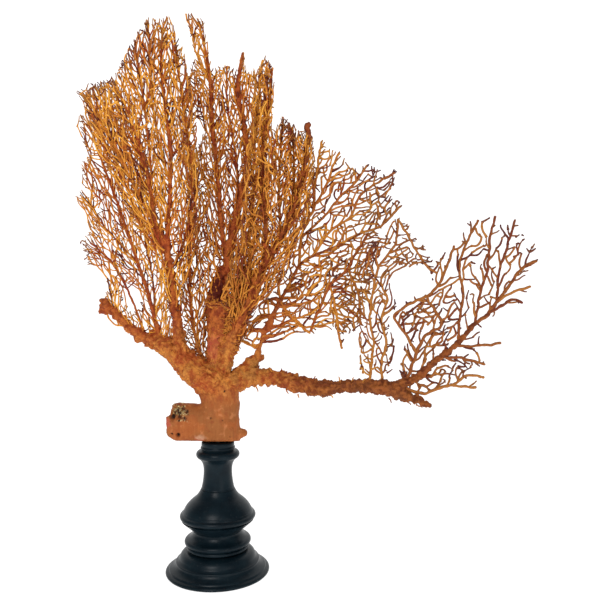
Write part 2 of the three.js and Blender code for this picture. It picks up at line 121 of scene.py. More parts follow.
class Paint:
    """A material under construction. node() makes any node, and the rest are short forms of it."""

    def __init__(self, name):
        self.material = bpy.data.materials.new(name)
        self.material.use_nodes = True
        self.tree = self.material.node_tree
        self.surface = self.tree.nodes["Principled BSDF"]
        self.place = self.node("ShaderNodeTexCoord", {}, {}, "Object")

    def put(self, socket, value):
        if isinstance(value, Socket):
            self.tree.links.new(value.link, socket)
        else:
            socket.default_value = value

    def node(self, kind, settings, sockets, output=0):
        made = self.tree.nodes.new(kind)
        for name, value in settings.items():
            setattr(made, name, value)
        for name, value in sockets.items():
            self.put(made.inputs[name], value)
        return Socket(self, made.outputs[output])

    def attribute(self, name, output="Fac"):
        return self.node("ShaderNodeAttribute", {"attribute_name": name}, {}, output)

    def axis(self, name):
        return self.node("ShaderNodeSeparateXYZ", {}, {0: self.place}, name)

    def pointiness(self):
        return self.node("ShaderNodeNewGeometry", {}, {}, "Pointiness")

    def noise(self, scale, detail, stretch=None, vector=None):
        vector = vector or self.place
        if stretch:
            vector = self.node("ShaderNodeVectorMath", {"operation": "MULTIPLY"}, {0: vector, 1: stretch})
        sockets = {"Vector": vector, "Scale": scale, "Detail": detail, "Roughness": NOISE_ROUGHNESS}
        return self.node("ShaderNodeTexNoise", {}, sockets)

    def mix(self, share, first, second):
        return self.node("ShaderNodeMix", {"data_type": "RGBA"}, {0: share, 6: first, 7: second}, 2)

    def bump(self, height, strength, distance):
        sockets = {"Height": height, "Strength": strength, "Distance": distance}
        return self.node("ShaderNodeBump", {}, sockets)

    def finish(self, colour, roughness, normal=None, **constants):
        self.put(self.surface.inputs["Base Color"], colour)
        self.put(self.surface.inputs["Roughness"], roughness)
        if normal:
            self.put(self.surface.inputs["Normal"], normal)
        for name, value in constants.items():
            self.surface.inputs[name.replace("_", " ")].default_value = value
        return self.material


def paper_sweep():
    profile = [(-FLOOR_HALF, 0.0), (SWEEP_START, 0.0)]
    for i in range(1, SWEEP_STEPS + 1):
        turn = math.pi / 2 * i / SWEEP_STEPS
        profile.append((SWEEP_START + SWEEP_RADIUS * math.sin(turn), SWEEP_RADIUS * (1 - math.cos(turn))))
    profile.append((SWEEP_START + SWEEP_RADIUS, SWEEP_HEIGHT))
    points = [(x, y, z) for y, z in profile for x in (-FLOOR_HALF, FLOOR_HALF)]
    faces = [(2 * i, 2 * i + 1, 2 * i + 3, 2 * i + 2) for i in range(len(profile) - 1)]
    mesh = bpy.data.meshes.new("paper_sweep")
    mesh.from_pydata(points, [], faces)
    sweep = bpy.data.objects.new("paper_sweep", mesh)
    bpy.context.collection.objects.link(sweep)
    glow = {"Emission_Color": WHITE, "Emission_Strength": PAPER_GLOW}
    mesh.materials.append(Paint("white paper").finish(PAPER_GREY, 0.9, Specular_IOR_Level=0.0, **glow))
    return sweep


def white_surround():
    world = bpy.data.worlds.new("white surround")
    world.use_nodes = True
    nodes, links = world.node_tree.nodes, world.node_tree.links
    nodes["Background"].inputs["Color"].default_value = WHITE
    seen = nodes.new("ShaderNodeLightPath")
    strength = nodes.new("ShaderNodeMapRange")
    strength.inputs["To Min"].default_value = SURROUND_LIGHT
    strength.inputs["To Max"].default_value = 1.0
    links.new(seen.outputs["Is Camera Ray"], strength.inputs["Value"])
    links.new(strength.outputs["Result"], nodes["Background"].inputs["Strength"])
    return world


paper_sweep()
bpy.context.scene.world = white_surround()
bpy.context.scene.view_settings.view_transform = "Standard"


# Lights: a large soft lamp high in front on the left, and a weak one low on the right. Places in metres.
LIGHT_AIM = Vector((0.08, 0, 0.3))


def soft_light(name, place, size, watts):
    bpy.ops.object.light_add(type="AREA", location=place)
    lamp = bpy.context.object
    lamp.name = name
    lamp.data.size = size
    lamp.data.energy = watts
    lamp.rotation_euler = (LIGHT_AIM - Vector(place)).to_track_quat("-Z", "Y").to_euler()


soft_light("key_softbox", (-0.45, -2.1, 1.5), size=0.9, watts=29)
soft_light("fill_softbox", (1.3, -1.9, 0.5), size=1.2, watts=7)


# Stand: one length of hardwood turned on a lathe into foot, rings, waist, body, neck and collar. It is
# sealed, painted satin black, and bored at its top for the pin. The profile is (radius, height) in mm.
STAND_STEPS = 96
PIN_BORE = 3.3
PIN_BORE_BOTTOM = 94.7
DOUBLES_APART = 0.02
SHARP_EDGE = math.radians(40)


def tint(red, green, blue):
    """A colour as a photograph gives it, 0 to 255, turned into the linear one that a shader takes."""
    shares = [value / 255 for value in (red, green, blue)]
    linear = [s / 12.92 if s <= 10 / 255 else ((s + 0.055) / 1.055) ** 2.4 for s in shares]
    return (*linear, 1.0)


def select_only(*pieces):
    bpy.ops.object.select_all(action="DESELECT")
    for piece in pieces:
        piece.select_set(True)
    bpy.context.view_layer.objects.active = pieces[0]


def turned_arc(centre_r, centre_z, radius, start_deg, end_deg, steps):
    turns = [math.radians(start_deg + (end_deg - start_deg) * i / steps) for i in range(steps + 1)]
    return [(centre_r + radius * math.cos(t), centre_z + radius * math.sin(t)) for t in turns]


def eased(points, steps=5):
    """A smooth curve through a list of profile points."""
    ends = [points[0], *points, points[-1]]
    curve = []
    for i in range(1, len(ends) - 2):
        a, b, c, d = (Vector(ends[k]) for k in (i - 1, i, i + 1, i + 2))
        for s in range(steps):
            t = s / steps
            curve.append(tuple(0.5 * (2 * b + (c - a) * t + (2 * a - 5 * b + 4 * c - d) * t * t
                                      + (3 * b - a - 3 * c + d) * t ** 3)))
    return [*curve, tuple(points[-1])]


STAND_PROFILE = [
    (0.0, 0.0), (51.8, 0.0),
    *turned_arc(52.2, 1.8, 1.8, -70, 62, 8),
    (51.6, 3.9), (50.6, 4.3), (50.2, 5.2),
    *eased([(49.6, 5.9), (47.2, 7.0), (45.0, 8.6), (43.6, 10.6)]),
    *turned_arc(42.2, 11.8, 1.3, -10, 80, 5),
    *eased([(41.6, 13.6), (40.2, 15.2), (39.3, 17.2), (38.2, 19.2), (36.2, 21.2), (33.4, 22.5),
            (30.6, 22.9)]),
    (27.4, 23.1), (26.8, 24.0), (27.4, 24.8),
    *turned_arc(30.9, 26.7, 1.9, -100, 70, 7),
    (31.2, 28.8), (30.6, 29.2), (31.1, 29.7),
    *turned_arc(31.4, 32.2, 3.2, -60, 78, 9),
    *eased([(31.4, 35.6), (29.4, 36.6), (27.4, 38.4), (26.0, 40.6), (25.5, 42.4)]),
    *eased([(26.2, 44.4), (29.6, 47.2), (34.2, 51.0), (37.6, 54.2)]),
    (36.4, 54.7), (35.9, 55.2), (37.2, 55.6),
    *turned_arc(36.6, 58.4, 2.9, -55, 62, 8),
    (37.2, 61.3), (36.9, 61.5), (36.8, 61.9), (36.1, 63.4), (35.8, 63.5), (35.7, 63.9),
    *eased([(35.2, 65.0), (33.2, 68.4), (30.4, 71.8), (27.0, 75.0)]),
    *eased([(25.4, 76.2), (22.6, 78.6), (20.0, 81.8), (18.1, 85.2)]),
    (17.8, 85.8), (16.9, 86.1), (16.9, 86.6), (17.3, 86.9),
    *eased([(17.0, 87.6), (15.9, 93.0), (15.1, 99.0), (14.8, 105.6), (15.3, 110.4), (16.6, 114.2),
            (18.8, 117.4)]),
    *turned_arc(18.5, 122.2, 4.2, -62, 88, 11),
    (17.6, 126.9), (16.9, 127.3), (17.1, 127.8),
    *turned_arc(16.9, 129.3, 1.2, -80, 80, 5),
    (16.9, 131.0), (17.2, 131.8),
    *turned_arc(15.7, 134.1, 1.4, 5, 84, 5),
    (PIN_BORE + 0.4, 135.5), (PIN_BORE, 135.1), (PIN_BORE, PIN_BORE_BOTTOM), (0.0, PIN_BORE_BOTTOM),
]


def turned_stand():
    mesh = bpy.data.meshes.new("turned_stand")
    points = [(r * MM, 0, z * MM) for r, z in STAND_PROFILE]
    mesh.from_pydata(points, [(i, i + 1) for i in range(len(points) - 1)], [])
    stand = bpy.data.objects.new("turned_stand", mesh)
    bpy.context.collection.objects.link(stand)
    select_only(stand)
    bpy.ops.object.mode_set(mode="EDIT")
    bpy.ops.mesh.select_all(action="SELECT")
    bpy.ops.mesh.spin(steps=STAND_STEPS, angle=math.tau, center=(0, 0, 0), axis=(0, 0, 1))
    bpy.ops.mesh.select_all(action="SELECT")
    bpy.ops.mesh.remove_doubles(threshold=DOUBLES_APART * MM)
    bpy.ops.mesh.normals_make_consistent(inside=False)
    bpy.ops.object.mode_set(mode="OBJECT")
    bpy.ops.object.shade_smooth_by_angle(angle=SHARP_EDGE)
    return stand



def satin_black():
    paint = Paint("satin black paint")
    rings = paint.noise(1.0, 4, stretch=(8, 8, 900))
    flow = paint.noise(60, 3)
    dust = paint.noise(420, 2).between(0.6, 0.75)
    wear = paint.pointiness().between(0.52, 0.6) * flow.between(0.45, 0.65)
    black = paint.mix(flow.between(0.3, 0.7), tint(9, 21, 28), tint(17, 31, 38))
    worn = paint.mix(wear * 0.25, black, tint(62, 60, 60))
    colour = paint.mix(dust * 0.08, worn, tint(90, 94, 96))
    height = rings * 0.5 + flow * 0.5
    return paint.finish(colour, 0.27 + flow * 0.12 + dust * 0.1, paint.bump(height, 0.12, 0.0004),
                        Specular_IOR_Level=0.12)


stand = turned_stand()
stand.data.materials.append(satin_black())
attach(stand, "root")
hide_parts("stand")


# Pin: a plain drawn steel rod, hidden in the bore of the stand and in the trunk, that holds the fan upright.
# It keeps the solid's own mesh.
def drawn_steel():
    paint = Paint("drawn steel")
    lines = paint.noise(1.0, 3, stretch=(2500, 2500, 40))
    colour = paint.mix(lines, tint(150, 150, 148), tint(190, 190, 188))
    return paint.finish(colour, 0.28 + lines * 0.2, paint.bump(lines, 0.1, 0.0001), Metallic=1.0)


pin = frame["nodes"]["mounting_pin"]
pin.data.materials.clear()
pin.data.materials.append(drawn_steel())


# Trunk: the holdfast end of the fan, smooth salmon-tan bark over a horny core. It is sawn off level and
# pinned to the stand, and has a broken side stump, crusted and pitted at its end, and a small nub. Limbs are
# (x, z, radius) points in mm, and a voxel skin grows them together.
CUT_HEIGHT = 135.9
LIMB_STEP = 2.0
LIMB_SIDES = 24
LIMB_UNEVEN = 0.09
DOME_OUT = np.array([0.45, 0.7])
DOME_RADII = np.array([0.8, 0.35])
BARK_VOXEL = 0.001
SMOOTH_SHARE = 0.6
GRAIN_TURN = 6
GRAIN_REACH = 40
GRAIN_APART = 7
FULL_RELIEF_RADIUS = 4.2


def ease(value):
    value = max(0.0, min(1.0, value))
    return value * value * (3 - 2 * value)


def set_back(x, z, depth):
    """Where a point of the front elevation lies, once it is set back along the line of sight."""
    grow = 1 + depth / -EYE[1]
    return (EYE[0] + (x - EYE[0]) * grow, depth, EYE[2] + (z - EYE[2]) * grow)


def smooth_route(points, step=LIMB_STEP):
    """[x, z, radius] points joined by one smooth curve, as an array with a row every step."""
    points = np.array(points, float)
    ends = np.vstack([2 * points[0] - points[1], points, 2 * points[-1] - points[-2]])
    rows = []
    for a, b, c, d in zip(ends, ends[1:], ends[2:], ends[3:]):
        count = max(2, int(np.hypot(*(c - b)[:2]) / step))
        t = np.linspace(0, 1, count, endpoint=False)[:, None]
        square = (2 * a - 5 * b + 4 * c - d) * t * t
        cube = (3 * b - a - 3 * c + d) * t ** 3
        rows.append(0.5 * (2 * b + (c - a) * t + square + cube))
    return np.vstack([*rows, points[-1:]])


def tube_arrays(path, radii, sides, flatten=1.0, rounded=(True, True)):
    """Vertices, side faces and end caps of a closed tube, with a radius at each point of its path.
    rounded says which of its two ends have a dome."""
    path = np.asarray(path, float)
    radii = np.asarray(radii, float)
    along = np.gradient(path, axis=0)
    along /= np.linalg.norm(along, axis=1)[:, None] + 1e-12
    if rounded[0]:
        dome = [path[0] - along[0] * radii[0] * out for out in DOME_OUT[::-1]]
        path = np.vstack([*dome, path])
        radii = np.concatenate([radii[0] * DOME_RADII[::-1], radii])
        along = np.vstack([along[0], along[0], along])
    if rounded[1]:
        dome = [path[-1] + along[-1] * radii[-1] * out for out in DOME_OUT]
        path = np.vstack([path, *dome])
        radii = np.concatenate([radii, radii[-1] * DOME_RADII])
        along = np.vstack([along, along[-1], along[-1]])
    across = np.cross(along, (0, 1, 0))
    across /= np.linalg.norm(across, axis=1)[:, None] + 1e-12
    outward = np.cross(along, across)
    turns = np.arange(sides) * math.tau / sides
    wide = np.cos(turns)[None, :, None]
    deep = flatten * np.sin(turns)[None, :, None]
    ring = wide * across[:, None, :] + deep * outward[:, None, :]
    vertices = (path[:, None, :] + radii[:, None, None] * ring).reshape(-1, 3)
    rows = np.arange(len(path) - 1)[:, None] * sides
    here = np.arange(sides)[None, :]
    after = (np.arange(sides) + 1) % sides
    corners = (rows + here, rows + after, rows + sides + after, rows + sides + here)
    quads = np.stack(corners, -1).reshape(-1, 4)
    last = (len(path) - 1) * sides
    caps = [list(range(sides - 1, -1, -1)), list(range(last, last + sides))]
    return vertices, quads, caps


def mesh_of(name, parts, attributes=()):
    """One object of many closed shapes. attributes are (name, one value per vertex) pairs."""
    vertices, faces, start = [], [], 0
    for points, quads, caps in parts:
        vertices.append(points)
        faces.extend((quads + start).tolist())
        faces.extend([[v + start for v in cap] for cap in caps])
        start += len(points)
    mesh = bpy.data.meshes.new(name)
    mesh.from_pydata((np.vstack(vertices) * MM).tolist(), [], faces)
    for label, values in attributes:
        values = np.asarray(values, np.float32)
        mesh.attributes.new(label, "FLOAT", "POINT").data.foreach_set("value", values)
    piece = bpy.data.objects.new(name, mesh)
    bpy.context.collection.objects.link(piece)
    return piece


def limb_tubes(limbs, flatten):
    """A tube for each limb, and a row for each point of its axis: its place, its direction, the length so
    far, the limb's number and its radius."""
    tubes, axes = [], []
    for number, (points, depth_at) in enumerate(limbs):
        route = smooth_route(points)
        path = np.array([set_back(x, z, depth_at(x, z)) for x, z, _ in route])
        uneven = [1 + LIMB_UNEVEN * noise.noise(Vector((x / 7, z / 7, number))) for x, z, _ in route]
        tubes.append(tube_arrays(path, route[:, 2] * uneven, LIMB_SIDES, flatten))
        reach = np.concatenate([[0], np.cumsum(np.linalg.norm(np.diff(path, axis=0), axis=1))])
        along = np.gradient(path, axis=0)
        axes.extend((*p, *a, s, number, r) for p, a, s, r in zip(path, along, reach, route[:, 2]))
    return tubes, np.array(axes)


def grow_skin(piece, smoothing):
    """One skin over tubes that run into each other, with its steps smoothed away."""
    select_only(piece)
    skin = piece.modifiers.new("skin", "REMESH")
    skin.mode = "VOXEL"
    skin.voxel_size = BARK_VOXEL
    bpy.ops.object.modifier_apply(modifier=skin.name)
    even = piece.modifiers.new("even", "SMOOTH")
    even.iterations = smoothing
    even.factor = SMOOTH_SHARE
    bpy.ops.object.modifier_apply(modifier=even.name)


def relief_at(point, fine, reach, relief):
    """How far the bark stands out at a point. relief is the height in mm of its four kinds of roughness."""
    flutes = noise.fractal(Vector((fine.x * 2.2, fine.y * 2.2, fine.z * 1.1)), 0.9, 2.2, 3)
    billow = 1.7 * abs(noise.noise(point / 7)) + 0.7 * abs(noise.noise(point / 3.6)) - 0.55
    lumps = billow + 0.5 * noise.fractal(point / 11, 0.8, 2.2, 2)
    grit = noise.fractal(point / 2.1, 0.7, 2.2, 2)
    rings = noise.fractal(Vector((fine.x * 0.7, fine.y * 0.7, reach / 3.4)), 0.8, 2.2, 2)
    height = relief["flutes"] * flutes + relief["lumps"] * lumps
    return height + relief["grit"] * grit + relief["rings"] * rings


def bark_piece(name, limbs, relief, smoothing=6, flatten=1.0, shape=None, marks=()):
    """Limbs grown into one skin, with its relief. limbs are (points, depth function) pairs. shape is a last
    change to each point. marks are (attribute, function of a point) pairs that colour the bark. The
    attribute grain runs round and along each limb."""
    tubes, axes = limb_tubes(limbs, flatten)
    piece = mesh_of(name, tubes)
    grow_skin(piece, smoothing)
    tree = kdtree.KDTree(len(axes))
    for i, row in enumerate(axes):
        tree.insert(row[:3], i)
    tree.balance()
    count = len(piece.data.vertices)
    points, normals = np.empty(count * 3), np.empty(count * 3)
    piece.data.vertices.foreach_get("co", points)
    piece.data.vertex_normals.foreach_get("vector", normals)
    points, normals = points.reshape(-1, 3) / MM, normals.reshape(-1, 3)
    grain = np.empty((count, 3), np.float32)
    for i in range(count):
        point = Vector(points[i])
        row = axes[tree.find(point)[1]]
        so_far, number, radius = row[6:]
        along = Vector(row[3:6]).normalized()
        out = point - Vector(row[:3])
        side = along.cross(Vector((0, 1, 0))).normalized()
        turn = math.atan2(out.y, out.dot(side))
        reach = so_far + out.dot(along)
        grain[i] = (math.cos(turn) * radius / GRAIN_TURN, math.sin(turn) * radius / GRAIN_TURN,
                    reach / GRAIN_REACH + number * GRAIN_APART)
        push = relief_at(point, Vector(grain[i]), reach, relief)
        calm = min(1.0, radius / FULL_RELIEF_RADIUS) ** 1.5
        moved = point + Vector(normals[i]) * push * calm
        points[i] = shape(moved) if shape else moved
    piece.data.vertices.foreach_set("co", (points * MM).ravel())
    piece.data.attributes.new("grain", "FLOAT_VECTOR", "POINT").data.foreach_set("vector", grain.ravel())
    for label, value_at in marks:
        values = [value_at(Vector(point)) for point in points]
        piece.data.attributes.new(label, "FLOAT", "POINT").data.foreach_set("value", values)
    bpy.ops.object.shade_smooth()
    return piece


TRUNK = [(2, 124, 20.5), (3, 140, 20.2), (3, 165, 19.4), (2, 182, 20), (-1, 196, 22), (0, 206, 17)]
STUMP = [(2, 158, 17), (-18, 158.5, 16), (-34, 159.5, 16.5), (-44, 160, 16)]
STUMP_FOOT = [(2, 146, 15), (-18, 147, 14.5), (-38, 149, 14.5), (-46, 150, 13)]
NUB = [(14, 142, 5.5), (23, 143.4, 5.6), (28.4, 144.2, 4.6)]
TRUNK_RELIEF = {"flutes": 0.12, "lumps": 0.45, "grit": 0.16, "rings": 0.0}
BREAK_FACE = -52.4
BREAK_SHOULDER = -47.2
SHOULDER_HEIGHT = 163
FOOT_LIFT = 0.17
LOW_CORNER = -46
CRUST_X = -38
CRUST_Z = 168
CRUST_LEAN = 0.3
CRUST_BACK = 4
# Pits in the front face: x, z, radius and depth.
HOLLOWS = [
    (-41, 168, 4.2, 5), (-35, 170, 2.8, 4), (-45, 163, 3.0, 5), (-31, 168, 2.0, 3), (-38.5, 163, 2.2, 4),
    (-40, 144, 1.9, 5), (-46.5, 145, 1.1, 2.5), (9, 190, 1.2, 1.6), (-5.5, 162, 0.9, 1.0),
    (7, 160, 0.8, 1.0), (14, 143, 0.8, 1.0),
]
HOLLOW_RIM = 1.5


def level(_x, _z):
    return 0.0


def trunk_shape(point):
    """Sawn at the foot, slightly lifted at the front, snapped off at the stump's end, and pitted there."""
    point = point.copy()
    for x, z, radius, deep in HOLLOWS:
        away = math.hypot(point.x - x, point.z - z) * (1 + 0.45 * noise.noise(point / 2.6))
        if point.y < 0 and away < radius * HOLLOW_RIM:
            edge = 1 - away / (radius * HOLLOW_RIM)
            point.y += deep * ease(edge * 1.6) * (0.75 + 0.4 * noise.noise(point / 1.8))
    step = ease((point.z - SHOULDER_HEIGHT) / 3 + 0.5)
    face = BREAK_FACE + (BREAK_SHOULDER - BREAK_FACE) * step + 0.06 * point.y
    chipped = face + 1.3 * noise.fractal(Vector((point.y / 4, point.z / 4, 3)), 0.7, 2.2, 3)
    point.x = max(point.x, chipped)
    foot = CUT_HEIGHT + FOOT_LIFT * max(0.0, -point.y) + 0.5 * max(0.0, LOW_CORNER - point.x)
    point.z = max(point.z, foot + 0.3 * noise.noise(point / 4))
    return point


def near_mark(point, x, z, half_x, half_z, uneven=0.35):
    """1 inside an oval patch of the front elevation, fading to 0 at its uneven edge."""
    away = math.hypot((point.x - x) / half_x, (point.z - z) / half_z)
    return ease((1 - away) * 2 + uneven * 2 * noise.noise(point / 3))


def crust_at(point):
    middle = CRUST_X - CRUST_LEAN * (point.z - CRUST_Z)
    return 0.0 if point.y > CRUST_BACK else near_mark(point, middle, CRUST_Z, 9.5, 10.5, 0.7)


def pink_at(point):
    broken_end = near_mark(point, -52, 156, 6, 8)
    sawn_edge = near_mark(point, -18, 140, 7, 3)
    return max(broken_end, 0.6 * sawn_edge)


def chip_at(point):
    return 0.0 if point.y > 0 else near_mark(point, -17, 141.5, 7, 3.4)


# Painted shade: near black at the middle of each pit, fading out towards its rim.
def pit_shade_at(point):
    deepest = 0.0
    for x, z, radius, _ in HOLLOWS:
        away = math.hypot(point.x - x, point.z - z) * (1 + 0.5 * noise.noise(point / 2.2))
        deepest = max(deepest, 1.9 - 1.7 * away / radius)
    return 0.0 if point.y > 0 else ease(deepest)


def worn_bark():
    """Smooth tan on the trunk, and above it rough orange that turns red-brown higher up and to the right."""
    paint = Paint("worn bark")
    streaks = paint.noise(2.6, 4, vector=paint.attribute("grain", "Vector"), stretch=(1.4, 1.4, 0.35))
    upright = paint.noise(330, 4, stretch=(1, 1, 0.13))
    broad = paint.noise(34, 4)
    blotch = paint.noise(150, 4)
    grit = paint.noise(560, 3)
    specks = paint.noise(820, 2)
    ragged = paint.noise(260, 4, stretch=(1.5, 1, 0.8))
    height = paint.axis("Z")
    across = paint.axis("X")
    crust = paint.attribute("crust")
    near_trunk = across.between(-0.07, -0.06) * (1 - across.between(0.03, 0.035))
    low = (1 - (height + broad * 0.05 - 0.025).between(0.172, 0.2)) * near_trunk
    tan = paint.mix(upright.between(0.25, 0.75) * 0.6, tint(156, 80, 34), tint(182, 108, 54))
    tan = paint.mix(broad.between(0.45, 0.6) * 0.5, tan, tint(140, 90, 46))
    tan = paint.mix(blotch.between(0.54, 0.7) * 0.5, tan, tint(204, 130, 82))
    tan = paint.mix((1 - blotch.between(0.3, 0.44)) * 0.4, tan, tint(140, 60, 26))
    orange = paint.mix(blotch.between(0.36, 0.64), tint(156, 72, 22), tint(208, 132, 56))
    orange = paint.mix(broad.between(0.48, 0.66) * 0.5, orange, tint(164, 60, 24))
    orange = paint.mix((1 - broad.between(0.36, 0.46)) * 0.5, orange, tint(168, 116, 54))
    orange = paint.mix(streaks.between(0.5, 0.66) * 0.4, orange, tint(112, 44, 18))
    orange = paint.mix(grit.between(0.56, 0.7) * 0.45, orange, tint(200, 132, 58))
    orange = paint.mix((1 - grit.between(0.32, 0.44)) * 0.5, orange, tint(92, 40, 16))
    red = paint.mix(blotch.between(0.4, 0.62), tint(122, 40, 14), tint(168, 70, 26))
    orange = paint.mix(height.between(0.225, 0.27) * 0.65, orange, red)
    brown = paint.mix(blotch.between(0.4, 0.6), tint(98, 46, 18), tint(140, 74, 32))
    orange = paint.mix(across.between(0.02, 0.14) * 0.85, orange, brown)
    colour = paint.mix(low, orange, tan)
    colour = paint.mix(specks.between(0.68, 0.74) * 0.6, colour, tint(84, 40, 24))
    cream = paint.mix(grit.between(0.42, 0.6), tint(150, 120, 56), tint(224, 200, 146))
    cream = paint.mix(1 - blotch.between(0.44, 0.52), cream, tint(128, 60, 30))
    cream = paint.mix(ragged.between(0.5, 0.56), cream, tint(40, 22, 12))
    colour = paint.mix(crust * (0.35 + grit.between(0.4, 0.5) * 0.65), colour, cream)
    rose = paint.mix(blotch, tint(168, 56, 44), tint(196, 100, 76))
    colour = paint.mix(paint.attribute("pink") * 0.75, colour, rose)
    pale = paint.mix(grit, tint(176, 120, 90), tint(216, 172, 138))
    colour = paint.mix(paint.attribute("chip") * 0.7, colour, pale)
    # Painted shade: dark red-brown where the hollow behind the break lies in shadow.
    colour = paint.mix(paint.attribute("deep"), colour, tint(88, 24, 10))
    # Painted shade inside the pits, weaker where the crust lies.
    colour = paint.mix(paint.attribute("pit_shade") * (1 - crust * 0.45), colour, tint(34, 18, 11))
    # Painted shade: dark brown in the bark's crevices, where the skin curves inwards.
    colour = paint.mix(1 - paint.pointiness().between(0.36, 0.46), colour, tint(40, 18, 10))
    rough = blotch * 0.5 * (1 - low) + grit * (0.7 - 0.45 * low)
    relief = upright * 0.25 * low + rough + specks * 0.2
    return paint.finish(colour, 0.66 + blotch * 0.2, paint.bump(relief, 0.55, 0.0012),
                        Specular_IOR_Level=0.25)


bark = worn_bark()
trunk = bark_piece("trunk_bark", [(TRUNK, level), (STUMP, level), (STUMP_FOOT, level), (NUB, level)],
                   TRUNK_RELIEF, smoothing=34, flatten=0.84, shape=trunk_shape,
                   marks=(("crust", crust_at), ("pink", pink_at), ("chip", chip_at), ("pit_shade", pit_shade_at)))
trunk.data.materials.append(bark)
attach(trunk, "root")
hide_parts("trunk")


# Left limb: the low bough, orange and lumpy, that ends in a knob, and the blade of twigs that rises from it,
# all dry bark over a horny core. A twig leaves a vein or another twig, turns with the blade's flow, keeps
# its distance from its neighbours, and stops or grows into one of them, which closes a loop of the net.
TWIG_STEP = 2.4
CELL = 8.0
FLOW_GRID = 5.0
VEIN_PULL = 30.0
CLEARANCE = 0.74
FEELS = 1.1
MEETS = 0.55
LINKS = 0.5
FILLS = 3
SIDE_ANGLE = 1.25
FLOW_STEER = 0.2
NEIGHBOUR_STEER = 0.22
LIFT_RUN = 12
NEAR_LAYER = 3.6
STOUT_RADIUS = 3.2
VEIN_SIDES = 8
TIP_LENGTH = 16
BLADE_RELIEF = {"flutes": 0.7, "lumps": 2.5, "grit": 0.55, "rings": 0.35}
KINK_SEED = 7
# noise_vector, which kinks the veins, starts from the clock unless it is given a seed.
noise.seed_set(KINK_SEED)


def inside(x, z, outline):
    found = False
    for (ax, az), (bx, bz) in zip(outline, outline[1:] + outline[:1]):
        if (az > z) != (bz > z) and x < ax + (z - az) * (bx - ax) / (bz - az):
            found = not found
    return found


def turn_to(start, end):
    return math.atan2(math.sin(end - start), math.cos(end - start))


def flow_map(veins, focus):
    """A function that gives a blade's growing direction: along the veins near them, and else outwards."""
    samples = []
    for vein in veins:
        route = smooth_route(vein, 4.0)
        along = np.gradient(route[:, :2], axis=0)
        along /= np.linalg.norm(along, axis=1)[:, None] + 1e-9
        samples.append(np.hstack([route[:, :2], along]))
    samples = np.vstack(samples)
    known = {}

    def flow(x, z):
        key = (round(x / FLOW_GRID), round(z / FLOW_GRID))
        if key not in known:
            gap = samples[:, :2] - (key[0] * FLOW_GRID, key[1] * FLOW_GRID)
            weight = VEIN_PULL / ((gap ** 2).sum(1) + 60)
            out = np.array([x - focus[0], z - focus[1]])
            way = (weight[:, None] * samples[:, 2:]).sum(0) + out / (np.linalg.norm(out) + 1e-9)
            known[key] = math.atan2(way[1], way[0])
        return known[key]

    return flow


